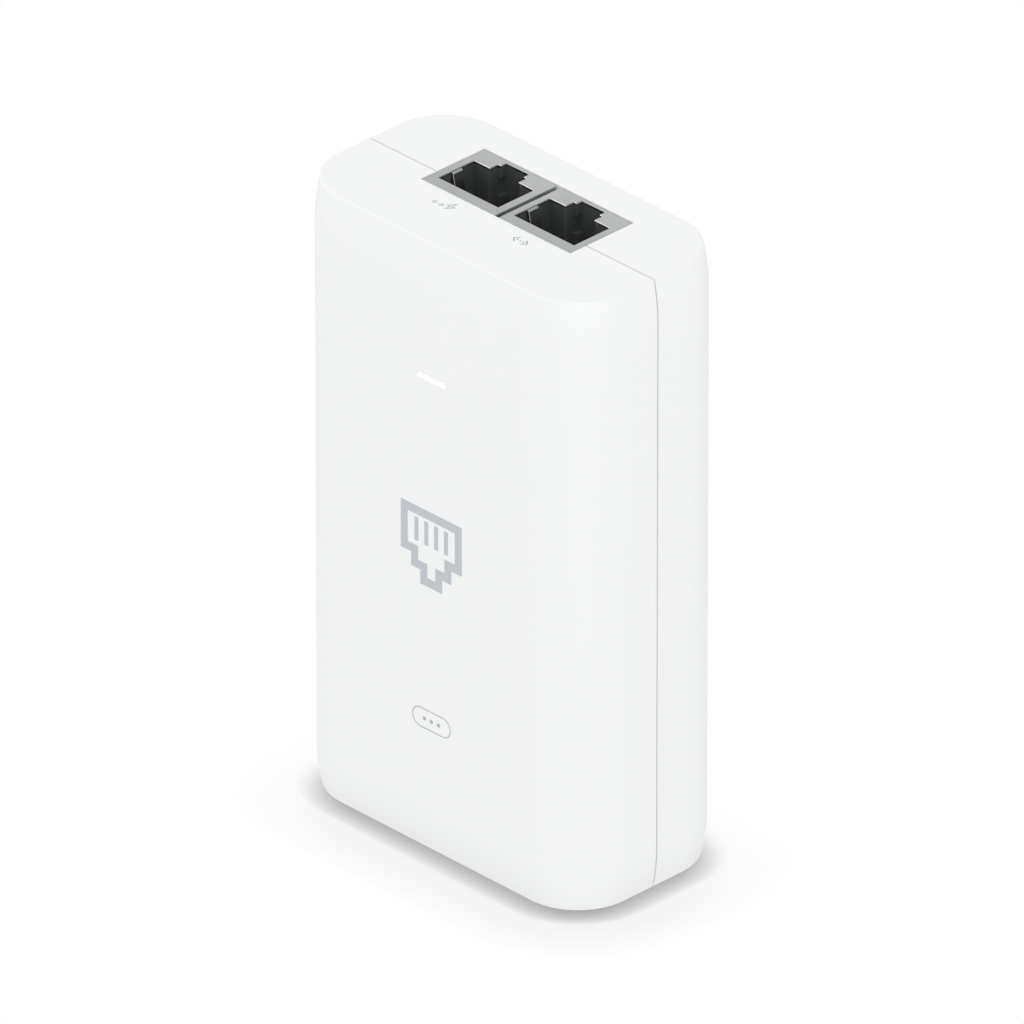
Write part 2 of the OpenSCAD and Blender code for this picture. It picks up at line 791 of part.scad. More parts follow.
// The plug's space behind the catches, where the latch springs out
module channel_outline() {
    translate([-plug_w/2, -plug_y]) square([plug_w, plug_d]);
    translate([-step_w[0]/2, -plug_y]) square([step_w[0], step_y[1]]);
}

module socket_shield(side) color("lightgray") at_socket(side) {
    difference() {
        translate([-jack_w/2, -jack_front, -jack_l]) cube([jack_w, jack_d, jack_l]);
        translate([-jack_w/2 + shield_t, -jack_front + shield_t, -jack_l + shield_t])
            cube([jack_w - 2*shield_t, jack_d - 2*shield_t, jack_l - 2*shield_t]);
        translate([-jack_w/2 + shield_t, 0, -jack_l - cut])
            cube([jack_w - 2*shield_t, jack_d, jack_l + cut - collar_l]);
        translate([0, 0, -shield_t - cut]) linear_extrude(shield_t + 2*cut) plug_outline();
        for (x = [-1, 1]) translate([x*ground_pivot, ground_y, 0])
            cube([ground_t + 0.4, ground_w + 0.4, 2*shield_t + eps], center = true);
    }
    for (x = [-1, 1]) translate([x*(jack_w - shield_t)/2, board_y, tab_z])
        cube([tab_size[0], 2*tab_size[1], tab_size[2]], center = true);
}

module socket_housing(side) color("#303236") at_socket(side) difference() {
    union() {
        translate([-housing_w/2, -jack_front + shield_t + fit, -housing_l])
            cube([housing_w, housing_back + jack_front - shield_t - fit, housing_l - housing_gap]);
        translate([-housing_w/2, 0, -housing_l])
            cube([housing_w, board_y, housing_l - collar_l - 2*fit]);
        for (x = [-peg_x, peg_x]) translate([x, board_y - cut, peg_z])
            rotate([-90, 0, 0]) cylinder(d = peg_d, h = peg_l + cut);
    }
    // the plug's space: two latch steps at its mouth, a wide latch channel
    // behind them, and a ledge in each rear corner of the channel further in
    translate([0, 0, -catch_l]) linear_extrude(catch_l + cut) plug_outline();
    translate([0, 0, -ledge_z]) linear_extrude(ledge_z - catch_l + eps) channel_outline();
    translate([0, 0, -plug_l]) linear_extrude(plug_l - ledge_z + eps) difference() {
        channel_outline();
        for (x = [-1, 1])
            translate([x*(step_w[0] - ledge_size[0])/2, step_y[1] - plug_y - ledge_size[1]/2])
                square(ledge_size + [eps, eps], center = true);
    }
    // channel behind the contact side, and its way through into the plug's space
    translate([-channel_w/2, -jack_front, -housing_l - cut])
        cube([channel_w, jack_front + terminal_y + contact_t/2 + channel_out, housing_l + window_z[1] + cut]);
    translate([-channel_w/2, -jack_front, window_z[0]])
        cube([channel_w, jack_front - plug_y + loose, window_z[1] - window_z[0]]);
    // slots in the side walls that the ground springs move in
    for (x = [0, 1]) mirror([x, 0, 0])
        translate([plug_w/2 - loose, ground_y - ground_slot_w/2, -ground_slot_l])
            cube([housing_w/2, ground_slot_w, ground_slot_l]);
}

// The fixed part of each contact wire: a leg, a straight run and the bend
module socket_terminals(side) color("gold") at_socket(side) for (i = [0:contacts - 1])
    translate([contact_x(i), 0, 0]) along_x(contact_t) {
        leg_z = leg_rows[i % 2];
        translate([terminal_y - contact_t/2, leg_z - contact_t/2])
            square([contact_t, bend_z - leg_z + contact_t/2]);
        translate([terminal_y - contact_t/2, leg_z - contact_t/2])
            square([board_rear + leg_out - terminal_y, contact_t]);
        translate([terminal_y + bend_y, bend_z]) intersection() {
            difference() {
                circle(bend_y + contact_t/2);
                circle(bend_y - contact_t/2);
            }
            translate([-2*bend_y, 0]) square([4*bend_y, 2*bend_y]);
        }
    }

// The sprung part of each contact wire, from its hinge to its free end
module socket_contacts(side) color("gold") at_socket(side) for (i = [0:contacts - 1])
    translate([contact_x(i), contact_y, pivot_z]) along_x(contact_t) rotate(contact_angle) {
        translate([-contact_t/2, -contact_l]) square([contact_t, contact_l]);
        for (z = [0, -contact_l]) translate([0, z]) circle(contact_t/2);
    }

// One ground spring: a strip that bulges into the plug's space, with a rolled
// end at its hinge in the shield's edge
module ground_spring(side, x) color("lightgray") at_socket(side)
    mirror([x < 0 ? 1 : 0, 0, 0]) translate([0, ground_y, 0]) {
        path = [
            [ground_pivot, ground_z[0]], [ground_pivot - ground_bulge - ground_t/2, ground_z[1]],
            [ground_pivot, ground_z[2]],
        ];
        translate([0, ground_w/2, 0]) rotate([90, 0, 0]) {
            linear_extrude(ground_w) polygon(concat(
                [for (p = path) p + [ground_t/2, 0]],
                [for (i = [2, 1, 0]) path[i] - [ground_t/2, 0]]
            ));
            translate(path[0]) cylinder(r = ground_roll, h = ground_w);
        }
    }

module left_socket_shield() socket_shield(left);
module right_socket_shield() socket_shield(right);
module left_socket_housing() socket_housing(left);
module right_socket_housing() socket_housing(right);
module left_socket_terminals() socket_terminals(left);
module right_socket_terminals() socket_terminals(right);
module left_socket_contacts() socket_contacts(left);
module right_socket_contacts() socket_contacts(right);
module left_socket_ground_spring_a() ground_spring(left, -1);
module left_socket_ground_spring_b() ground_spring(left, 1);
module right_socket_ground_spring_a() ground_spring(right, -1);
module right_socket_ground_spring_b() ground_spring(right, 1);

front_shell();
rear_shell();
light_pipe();
status_led();
circuit_board();
rear_insulator();
heat_spreader();
thermal_pad();
case_screws();
rating_label();
inlet_housing();
inlet_pins();
fuse();
varistor();
thermistor();
x_capacitor();
y_capacitor();
choke_base();
choke_core();
choke_windings();
bridge_rectifier();
bulk_capacitor();
primary_heatsink();
switching_transistor();
heatsink_screws();
transformer_bobbin();
transformer_core();
transformer_windings();
optocoupler();
secondary_heatsink();
output_rectifier();
output_capacitors();
output_inductor();
lan_magnetics();
poe_controller();
primary_controller();
left_socket_shield();
right_socket_shield();
left_socket_housing();
right_socket_housing();
left_socket_terminals();
right_socket_terminals();
left_socket_contacts();
right_socket_contacts();
left_socket_ground_spring_a();
left_socket_ground_spring_b();
right_socket_ground_spring_a();
right_socket_ground_spring_b();
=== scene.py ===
"""Looks of a mains-powered PoE injector: an upright white case of two moulded
shells, two shielded network sockets in its top face, a status light on the
front and a recessed AC inlet below. Every piece takes its place from the
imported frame, in metres."""
import json
import math
from contextlib import contextmanager

import bmesh
import bpy
from bpy.props import FloatProperty, FloatVectorProperty, IntProperty, PointerProperty
from bpy.types import Operator, Panel, PropertyGroup
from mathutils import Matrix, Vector


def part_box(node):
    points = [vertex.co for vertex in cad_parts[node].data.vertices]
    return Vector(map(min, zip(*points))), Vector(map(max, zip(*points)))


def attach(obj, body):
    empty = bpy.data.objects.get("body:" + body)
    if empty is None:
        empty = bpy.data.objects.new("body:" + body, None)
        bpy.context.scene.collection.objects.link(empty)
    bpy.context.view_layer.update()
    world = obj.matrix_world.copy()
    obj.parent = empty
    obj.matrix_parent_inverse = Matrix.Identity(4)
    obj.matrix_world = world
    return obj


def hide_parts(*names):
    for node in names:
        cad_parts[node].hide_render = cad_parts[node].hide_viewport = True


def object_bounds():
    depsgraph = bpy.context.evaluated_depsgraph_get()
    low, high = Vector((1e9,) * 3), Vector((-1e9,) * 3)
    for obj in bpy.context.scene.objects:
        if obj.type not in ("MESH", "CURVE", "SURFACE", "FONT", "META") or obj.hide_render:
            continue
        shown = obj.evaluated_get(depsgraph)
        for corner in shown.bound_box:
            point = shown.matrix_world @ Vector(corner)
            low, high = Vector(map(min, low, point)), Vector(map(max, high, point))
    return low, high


bl_info = {
    "name": "PoE injector",
    "version": (1, 0, 0),
    "blender": (4, 5, 0),
    "location": "3D View > Sidebar > Injector",
    "description": "Builds the case, sockets, inlet, light and printed marks of a PoE injector",
    "category": "Object",
}

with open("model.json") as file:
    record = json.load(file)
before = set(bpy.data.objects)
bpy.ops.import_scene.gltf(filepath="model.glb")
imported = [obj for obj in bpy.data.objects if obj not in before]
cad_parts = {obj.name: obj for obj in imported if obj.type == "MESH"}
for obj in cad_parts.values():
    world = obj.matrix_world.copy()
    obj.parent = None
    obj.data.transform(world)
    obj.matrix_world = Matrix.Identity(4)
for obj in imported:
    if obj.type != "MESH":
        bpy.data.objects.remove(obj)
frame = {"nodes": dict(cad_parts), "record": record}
cad_box = [list(corner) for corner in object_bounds()]

MM = 0.001
CASE_LOW, CASE_HIGH = (Vector(corner) for corner in cad_box)
BOARD_LOW, BOARD_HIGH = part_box("circuit_board")
SIDES = ("left", "right")
PAST = 1 * MM  # how far a cutter goes past a face
WINDOW_CUT = 5 * MM  # how far a window's cutter goes each way from its face
NEAR = 2e-6  # how close two values are that count as equal
MERGE = 1e-7  # how close two vertices are that become one


# ---- sizes and colours a user would change ----


def size(name, description, millimetres):
    """A length property whose default is given in millimetres."""
    return FloatProperty(
        name=name, description=description, default=millimetres * MM,
        min=0, unit="LENGTH", precision=5,
    )


def paint(name, description, code):
    """A colour property whose default is an sRGB hex value."""
    return FloatVectorProperty(
        name=name, description=description, default=hex_linear(code)[:3],
        min=0, max=1, size=3, subtype="COLOR",
    )


def hex_linear(code):
    """An sRGB hex value as linear red, green, blue and alpha."""
    channels = [int(code[i:i + 2], 16) / 255 for i in (0, 2, 4)]
    linear = [c / 12.92 if c <= 0.04045 else ((c + 0.055) / 1.055) ** 2.4 for c in channels]
    return (*linear, 1.0)


class InjectorCase(PropertyGroup):
    corner: size("Corner radius", "Radius of the four upright corners", 10.6)
    wall: size("Wall", "Thickness of the moulded walls", 2.2)
    crown: size("Crown height", "Height over which the walls curve in at each end", 7)
    inset: size("Crown inset", "How far the walls curve in at each end", 0.75)
    edge: size("End edge", "Radius between the walls and the end faces", 0.35)
    seam: size("Seam", "Width of the groove between the two shells", 0.22)
    tongue: size("Tongue", "Thickness of the rear shell's tongue", 0.9)
    tongue_reach: size("Tongue reach", "How far the tongue enters the front shell", 1.6)
    lip: size("Broken edge", "Width of the rounding on moulded edges", 0.09)
    post: size("Post", "Diameter of the screw posts", 5.6)
    well: size("Screw well", "Diameter of the wells round the screw heads", 6.2)
    label_pocket: size("Label pocket", "Depth of the recess that the label lies in", 0.3)
    corner_segments: IntProperty(
        name="Corner segments", description="Faces round each upright corner", default=28, min=4)
    crown_segments: IntProperty(
        name="Crown segments", description="Rings in the curve at each end", default=10, min=2)


class InjectorSockets(PropertyGroup):
    sheet: size("Sheet", "Thickness of the shield's sheet metal", 0.25)
    rim: size("Shield rim", "Radius of the folded edges round the shield's face", 0.22)
    plug_width: size("Plug width", "Width of the plug opening", 12.75)
    plug_depth: size("Plug depth", "Depth of the opening without its latch steps", 7.4)
    front_rim: size("Front rim", "Sheet left between the shield's front and the opening", 2.14)
    outer_step: size("Outer latch step", "Width of the wide latch step", 6.1)
    outer_reach: size("Outer step reach", "How far the wide latch step goes back", 1.71)
    inner_step: size("Inner latch step", "Width of the narrow latch step", 4.87)
    inner_reach: size("Inner step reach", "How far the narrow latch step goes back", 2.75)
    plug_reach: size("Plug reach", "How far a plug goes in", 14)
    catch: size("Catch", "Thickness of the catches behind the latch steps", 2.2)
    ledge: size("Ledge", "Depth of the ledges in the latch channel", 5.1)
    ledge_width: size("Ledge width", "How far a ledge reaches in from the channel's side", 0.9)
    ledge_length: size("Ledge length", "How far a ledge reaches out from the channel's back", 1.4)
    under_sheet: size("Gap under the sheet", "Space between the sheet and the moulding", 0.3)
    strip: size("Spring strip", "Thickness of a ground spring", 0.2)
    bulge: size("Spring bulge", "How far a ground spring bows into the opening", 0.45)
    wire: size("Contact wire", "Thickness of a contact wire", 0.4)
    wires: IntProperty(name="Contact wires", description="Wires in a socket", default=8, min=1)


class InjectorLooks(PropertyGroup):
    case: paint("Case", "Colour of the moulded shells", "F4F5F5")
    light: paint("Light", "Colour of the status light", "FFFFFF")
    socket: paint("Socket", "Colour of the socket and inlet mouldings", "46494A")
    print_dark: paint("Fine print", "Colour of the small printed marks", "AEB2B6")
    print_pale: paint("Broad print", "Colour of the large printed mark", "C1C5CB")


class InjectorStage(PropertyGroup):
    azimuth: FloatProperty(
        name="Azimuth", description="Camera angle from the front face towards +X",
        default=math.radians(45.608), subtype="ANGLE")
    elevation: FloatProperty(
        name="Elevation", description="Camera angle above the level",
        default=math.radians(29.734), subtype="ANGLE")
    aim: FloatVectorProperty(
        name="Aim", description="Point near the middle of the case that the camera looks at",
        default=(0.015 * MM, 0.0925 * MM, 52.095 * MM), size=3, unit="LENGTH", precision=6)
    distance: size("Distance", "Camera distance from the aim", 5090)
    lens: FloatProperty(
        name="Lens", description="Focal length in millimetres on a 36 mm sensor", default=1200.9)
    dome: FloatProperty(name="Dome", description="Strength of the white surround", default=0.8)
    key: FloatProperty(name="Key", description="Power of the soft key lamp in watts", default=6.0)
    fill: FloatProperty(name="Fill", description="Power of the lamp on the left in watts", default=3.1)


# ---- modelling helpers ----


def deselect():
    """Leave no object selected."""
    bpy.ops.object.select_all(action="DESELECT")


def only(piece):
    """Make a piece the only selected object and the active one."""
    deselect()
    piece.select_set(True)
    bpy.context.view_layer.objects.active = piece


def settle(piece, name):
    """Name a new piece and put its place into its mesh."""
    piece.name = name
    piece.data.name = name
    only(piece)
    bpy.ops.object.transform_apply(location=True, rotation=True, scale=True)
    return piece


@contextmanager
def editing(piece):
    """Edit mode on one piece, with nothing selected at the start."""
    only(piece)
    bpy.ops.object.mode_set(mode="EDIT")
    bpy.ops.mesh.select_all(action="DESELECT")
    try:
        yield
    finally:
        bpy.ops.object.mode_set(mode="OBJECT")


MODES = {"verts": "VERT", "edges": "EDGE", "faces": "FACE"}


def pick(piece, kind, test):
    """In edit mode, select the parts of one kind that pass a test, and no others."""
    bpy.ops.mesh.select_mode(type=MODES[kind])
    bpy.ops.mesh.select_all(action="DESELECT")
    mesh = bmesh.from_edit_mesh(piece.data)
    chosen = [part for part in getattr(mesh, kind) if test(part)]
    if not chosen:
        raise RuntimeError(f"{piece.name}: no {kind} found to work on")
    for part in chosen:
        part.select_set(True)
    bmesh.update_edit_mesh(piece.data)


def pick_all():
    """In edit mode, select everything."""
    bpy.ops.mesh.select_all(action="SELECT")


def lies_at(part, axis, value):
    """Whether all of a part's vertices lie at one value along an axis."""
    return all(abs(v.co[axis] - value) < NEAR for v in part.verts)


def runs_along(edge, axis):
    """Whether an edge runs along an axis."""
    step = edge.verts[1].co - edge.verts[0].co
    return abs(abs(step[axis]) - step.length) < MERGE


def at(axis, value):
    """A test for parts that lie at one value along an axis."""
    return lambda part: lies_at(part, axis, value)


def along(axis):
    """A test for edges that run along an axis."""
    return lambda edge: runs_along(edge, axis)


def add_box(name, corner, opposite):
    """A box between two opposite corners."""
    low, high = (Vector([end(pair) for pair in zip(corner, opposite)]) for end in (min, max))
    deselect()
    bpy.ops.mesh.primitive_cube_add(size=1, location=(low + high) / 2, scale=high - low)
    return settle(bpy.context.object, name)


def add_block(name, low, high, axis, radius, segments=12):
    """A box whose four edges along one axis are rounded."""
    block = add_box(name, low, high)
    with editing(block):
        pick(block, "edges", along(axis))
        bpy.ops.mesh.bevel(offset=radius, segments=segments, affect="EDGES")
        pick_all()
        bpy.ops.mesh.remove_doubles(threshold=MERGE)
    return block


def add_rod(name, start, end, radius, sides=48):
    """A cylinder from one point to another."""
    start, end = Vector(start), Vector(end)
    deselect()
    bpy.ops.mesh.primitive_cylinder_add(
        vertices=sides, radius=radius, depth=(end - start).length,
        location=(start + end) / 2,
        rotation=(end - start).to_track_quat("Z", "Y").to_euler(),
    )
    return settle(bpy.context.object, name)


def combine(piece, other, operation):
    """Add or subtract another solid, which is used up."""
    only(piece)
    bpy.ops.object.modifier_add(type="BOOLEAN")
    step = piece.modifiers[-1]
    step.operation = operation
    step.object = other
    step.solver = "EXACT"
    bpy.ops.object.modifier_apply(modifier=step.name)
    bpy.data.objects.remove(other)


def subtract(piece, *cutters):
    """Cut solids out of a piece."""
    for cutter in cutters:
        combine(piece, cutter, "DIFFERENCE")


def unite(piece, *others):
    """Add solids to a piece."""
    for other in others:
        combine(piece, other, "UNION")


def join(name, pieces):
    """Put separate solids into one object."""
    deselect()
    for piece in pieces:
        piece.select_set(True)
    bpy.context.view_layer.objects.active = pieces[0]
    if len(pieces) > 1:
        bpy.ops.object.join()
    return settle(bpy.context.object, name)


def round_edges(piece, test, width, segments=2):
    """Bevel the edges that pass a test."""
    with editing(piece):
        pick(piece, "edges", test)
        bpy.ops.mesh.bevel(offset=width, segments=segments, affect="EDGES", clamp_overlap=True)


def smooth(piece, degrees=35):
    """Smooth shading up to an angle, with flat faces keeping their own normals."""
    only(piece)
    bpy.ops.object.shade_smooth_by_angle(angle=math.radians(degrees))
    bpy.ops.object.modifier_add(type="WEIGHTED_NORMAL")
    step = piece.modifiers[-1]
    step.keep_sharp = True
    bpy.ops.object.modifier_apply(modifier=step.name)


def give_finish(piece, finish):
    """Make a material the only one of a piece."""
    piece.data.materials.clear()
    piece.data.materials.append(finish)


def place(piece, finish, body, slot, *nodes):
    """Give a finished piece its material and its body, and hide the nodes it stands for. The slot is
    not used.
    """
    give_finish(piece, finish)
    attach(piece, body)
    if nodes:
        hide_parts(*nodes)


# ---- materials ----


CLOUDS = (0.3, 0.7)  # the range that most of the noise lies in


def add_node(tree, kind, settings=None, links=None):
    """Add a shader node, set its sockets or attributes, and link its inputs."""
    node = tree.nodes.new(f"ShaderNode{kind}")
    for key, value in (settings or {}).items():
        if key in node.inputs:
            node.inputs[key].default_value = value
        else:
            setattr(node, key, value)
    for key, source in (links or {}).items():
        tree.links.new(source, node.inputs[key])
    return node


def object_place(tree):
    """Where a point lies on its own object."""
    return add_node(tree, "TexCoord").outputs["Object"]


def noise(tree, where, size_mm, detail=1.0, **settings):
    """Soft noise whose spots have a real size."""
    settings = {"Scale": 1 / (size_mm * MM), "Detail": detail, **settings}
    return add_node(tree, "TexNoise", settings, {"Vector": where}).outputs["Fac"]


def carry(tree, value, source, target):
    """Carry a value over from one range to another."""
    node = add_node(
        tree, "MapRange",
        {"From Min": source[0], "From Max": source[1], "To Min": target[0], "To Max": target[1]},
        {"Value": value})
    return node.outputs["Result"]


def reckon(tree, operation, first, second):
    """The result of one operation on two values."""
    return add_node(tree, "Math", {"operation": operation}, {0: first, 1: second}).outputs["Value"]


def blend(tree, share, first, last, ends=(0.0, 1.0)):
    """Blend the base colour between two colours, between two values of a share."""
    ramp = add_node(tree, "ValToRGB", {}, {"Fac": share})
    for element, end, code in zip(ramp.color_ramp.elements, ends, (first, last)):
        element.position = end
        element.color = hex_linear(code)
    tree.links.new(ramp.outputs["Color"], tree.nodes["Principled BSDF"].inputs["Base Color"])


def new_material(name, colour, **sockets):
    """A Principled material with its constants on the shader's own sockets."""
    material = bpy.data.materials.new(name)
    material.use_nodes = True
    shader = material.node_tree.nodes["Principled BSDF"]
    shader.inputs["Base Color"].default_value = (*colour[:3], 1.0)
    for key, value in sockets.items():
        shader.inputs[key.replace("_", " ")].default_value = value
    return material


def grain(material, grain_mm, height_mm, rough=None, patch_mm=6.0, stretch=(1, 1, 1)):
    """Add a surface grain of a real size, and a slow change of roughness."""
    tree = material.node_tree
    shader = tree.nodes["Principled BSDF"]
    spread = add_node(tree, "Mapping", {"Scale": stretch}, {"Vector": object_place(tree)})
    where = spread.outputs["Vector"]
    bump = add_node(
        tree, "Bump", {"Strength": 1.0, "Distance": height_mm * MM},
        {"Height": noise(tree, where, grain_mm, 2.0, Roughness=0.6)})
    tree.links.new(bump.outputs["Normal"], shader.inputs["Normal"])
    if rough:
        patches = noise(tree, where, patch_mm)
        tree.links.new(carry(tree, patches, CLOUDS, rough), shader.inputs["Roughness"])
    return material


def mottle(material, dark, pale, spot_mm):
    """Vary the base colour between two colours in soft spots of a real size."""
    tree = material.node_tree
    blend(tree, noise(tree, object_place(tree), spot_mm, 2.0), dark, pale, (0.35, 0.65))


def fade(material, axis, start, end, first, last):
    """Change the base colour slowly between two colours along an axis, with soft clouds."""
    tree = material.node_tree
    cloud_mm, sway = 5.0, 0.2
    where = object_place(tree)
    split = add_node(tree, "SeparateXYZ", {}, {"Vector": where})
    drift = carry(tree, noise(tree, where, cloud_mm), CLOUDS, (-sway, sway))
    along = carry(tree, split.outputs[axis], (start, end), (0.0, 1.0))
    blend(tree, reckon(tree, "ADD", along, drift), first, last)


def moulded_abs(looks):
    """White ABS from a spark-eroded mould: satin, with a grain that just shows."""
    plastic = new_material("moulded_abs", looks.case, Roughness=0.48, IOR=1.53)
    return grain(plastic, 0.22, 0.0035, rough=(0.44, 0.52))


def diffusing_polycarbonate(looks):
    """Milky polycarbonate, lit from behind by the lamp on the board."""
    plastic = new_material(
        "diffusing_polycarbonate", looks.light, Roughness=0.35, IOR=1.58,
        Emission_Color=(1, 1, 1, 1), Emission_Strength=0.16)
    return grain(plastic, 0.3, 0.002, rough=(0.3, 0.4))


def glass_filled_nylon(looks):
    """Black glass-filled nylon: matt, a little cloudy where the fibres reach the surface."""
    plastic = new_material("glass_filled_nylon", looks.socket, Roughness=0.55, IOR=1.53)
    return grain(plastic, 0.18, 0.003, rough=(0.46, 0.62), patch_mm=2.5)


def blank_label_paper():
    """Coated label stock with nothing printed on it."""
    paper = new_material("blank_label_paper", hex_linear("DCDDDE"), Roughness=0.62, IOR=1.45)
    mottle(paper, "DBDCDD", "DEDFE0", 1.2)
    return grain(paper, 0.12, 0.002)


def pad_print(name, colour):
    """Pad-printing ink: thin and even, a touch duller than the plastic under it."""
    ink = new_material(name, colour, Roughness=0.55, IOR=1.5)
    return grain(ink, 0.22, 0.002, rough=(0.5, 0.6), patch_mm=1.0)


# each metal's colour, how metallic it is, its roughness, the size and height of its grain in
# mm, the range of its roughness, the size of its patches in mm, and how its grain is stretched
METALS = {
    # nickel-plated steel sheet: cool grey, with faint rolling lines; its base colour is paler towards
    # the back as a painted reflection
    "nickel_plated_shield": ("B7BBBA", 1.0, 0.58, 0.25, 0.0012, (0.52, 0.64), 3.0, (0.12, 1, 1)),
    # bright-rolled spring strip: smoother than the shield, so it mirrors the dark socket
    "nickel_plated_spring": ("9A9E9D", 1.0, 0.34, 0.25, 0.0008, (0.3, 0.38), 2.0, (1, 1, 0.12)),
    # painted glint: bright, smooth metal put on the faces round the opening that face front or back,
    # so a thin bright line shows round it
    "sheared_edge": ("FBFBFA", 1.0, 0.22, 0.15, 0.0005, (0.18, 0.28), 1.0, (1, 1, 1)),
    # painted highlight: pale, dull stuff on the spring strip's front faces, so they show as a soft
    # bright line
    "tumbled_edge": ("F4F4F2", 0.3, 0.6, 0.15, 0.0005, (0.55, 0.65), 1.0, (1, 1, 1)),
    # turned and plated contact pins, brighter and smoother than the sheet
    "nickel_plated_pin": ("C9C9C4", 1.0, 0.28, 0.3, 0.001, (0.22, 0.34), 6.0, (1, 1, 0.1)),
    # gold flash over phosphor bronze spring wire: warm and bright, drawn along its length
    "gold_plated_bronze": ("D9B45F", 1.0, 0.25, 0.2, 0.0008, (0.2, 0.32), 6.0, (1, 1, 0.15)),
    # screw steel with a dull zinc skin
    "zinc_plated_steel": ("9A9B9C", 1.0, 0.38, 0.25, 0.002, (0.32, 0.46), 1.5, (1, 1, 1)),
}


def metal(name):
    """One of the metals, with its grain."""
    code, metallic, roughness, grain_mm, height_mm, rough, patch_mm, stretch = METALS[name]
    finish = new_material(name, hex_linear(code), Metallic=metallic, Roughness=roughness)
    return grain(finish, grain_mm, height_mm, rough, patch_mm, stretch)


# the finishes of the parts inside, by the frame's slots: the name, the darker and the paler
# colour, the size of the colour's soft spots and of the grain in mm, and how rough and how
# metallic it is
INNER_FINISHES = {
    # cream epoxy of a surface-mount lamp: slightly glossy, almost even
    "led_body": ("led_package", "E6E2D2", "EFEBDD", 0.8, 0.2, 0.5, 0.0),
    # green solder mask on glass laminate: glossy, with darker copper areas beneath
    "board_green": ("solder_mask", "0F3D22", "155230", 1.6, 0.5, 0.35, 0.0),
    # pale polyester insulation: smooth and softly glossy
    "insulator": ("polyester_film", "D5D6D8", "DEDFE1", 6.0, 0.8, 0.3, 0.0),
    # bare aluminium heatsink stock: pale metal with a light satin sheen
    "heat_aluminium": ("rolled_aluminium", "C6C8CA", "D0D2D4", 4.0, 0.3, 0.38, 1.0),
    # thermal pad of filled silicone rubber: blue grey and quite matt
    "thermal_pad": ("filled_silicone", "6A7A8C", "75869A", 0.7, 0.3, 0.85, 0.0),
    # small plated screws: mid-grey metal with worn patches
    "screw_steel": ("plated_screw", "8E8F90", "A0A1A2", 1.0, 0.25, 0.38, 1.0),
    # brown fired ceramic: smooth glaze with small darker specks
    "ceramic_brown": ("fired_ceramic", "54301A", "653B22", 0.8, 0.4, 0.45, 0.0),
    # dipped blue epoxy of a disc: glossy, with a slightly rippled skin
    "disc_blue": ("blue_epoxy_dip", "1D3F93", "244AA5", 1.5, 0.9, 0.3, 0.0),
    # the same dip in olive, a little duller
    "disc_olive": ("olive_epoxy_dip", "39452B", "445233", 1.5, 0.9, 0.32, 0.0),
    # yellow moulded box of a film capacitor: even and glossy
    "film_yellow": ("yellow_film_case", "D0A125", "DBAE35", 3.0, 0.8, 0.3, 0.0),
    # sintered ferrite: charcoal grey, matt and finely gritty
    "ferrite": ("sintered_ferrite", "242528", "303235", 0.5, 0.15, 0.7, 0.0),
    # enamelled copper wire: glossy reddish brown
    "enamel_copper": ("enamelled_copper", "9C4A1C", "B85C28", 0.6, 0.5, 0.3, 1.0),
    # yellow polyester tape round the windings: smooth, with a soft gloss
    "winding_tape": ("winding_tape", "D0A31F", "DDB233", 2.0, 1.0, 0.35, 0.0),
    # black moulding compound of chips and power parts: matt, with a fine grit
    "epoxy_black": ("moulded_epoxy", "17181A", "202124", 0.5, 0.15, 0.6, 0.0),
    # dark blue shrink sleeve of the electrolytic capacitors: very glossy
    "sleeve_blue": ("shrink_sleeve", "10183C", "18214B", 3.0, 1.0, 0.25, 0.0),
    # white moulding compound of the optocoupler: plain and slightly glossy
    "opto_white": ("white_epoxy", "D8D8D2", "E2E2DC", 1.0, 0.2, 0.5, 0.0),
}


def inner_finish(slot):
    """The finish of one slot: soft spots of colour under a fine surface grain."""
    name, dark, pale, spot_mm, grain_mm, roughness, metallic = INNER_FINISHES[slot]
    finish = new_material(name, hex_linear(pale), Roughness=roughness, Metallic=metallic)
    mottle(finish, dark, pale, spot_mm)
    return grain(finish, grain_mm, 0.002)


# ---- case ----


FLANGE = 1.2 * MM  # how far the inlet's flange stands out behind the wall
SCREW_HEAD = 2.7 * MM  # radius of a case screw's head
HEAD_HEIGHT = 2 * MM


def crown_rings(case):
    """The steps in and up of each ring, from the straight wall to the end face."""
    slope = math.atan(2 * case.inset / (case.crown - case.edge))
    rise = case.crown - case.edge * (1 - math.sin(slope))
    outline = [
        (case.inset * t * t, rise * t)
        for t in (i / case.crown_segments for i in range(case.crown_segments + 1))
    ]
    turns = 5
    for i in range(1, turns + 1):
        angle = slope + (math.pi / 2 - slope) * i / turns
        outline.append((
            case.inset + case.edge * (math.cos(slope) - math.cos(angle)),
            rise + case.edge * (math.sin(angle) - math.sin(slope)),
        ))
    return [(b[0] - a[0], b[1] - a[1]) for a, b in zip(outline, outline[1:])]


def case_form(case):
    """The whole outer form, before it is parted into its two shells."""
    low = Vector((CASE_LOW.x, CASE_LOW.y, CASE_LOW.z + case.crown))
    high = Vector((CASE_HIGH.x, CASE_HIGH.y, CASE_HIGH.z - case.crown))
    form = add_block("case_form", low, high, 2, case.corner, case.corner_segments)
    with editing(form):
        for height in (low.z, high.z):
            pick(form, "faces", at(2, height))
            for step_in, step_up in crown_rings(case):
                bpy.ops.mesh.inset(thickness=step_in, depth=step_up)
    return form


def half_of(form, name, side, case):
    """One shell's share of the form: side is -1 for the front and 1 for the rear."""
    only(form)
    bpy.ops.object.duplicate()
    half = settle(bpy.context.object, name)
    seam = side * case.seam / 2
    with editing(half):
        pick_all()
        bpy.ops.mesh.bisect(
            plane_co=(0, seam, 0), plane_no=(0, 1, 0), use_fill=True,
            clear_outer=side < 0, clear_inner=side > 0)
    round_edges(half, at(1, seam), case.lip)
    return half


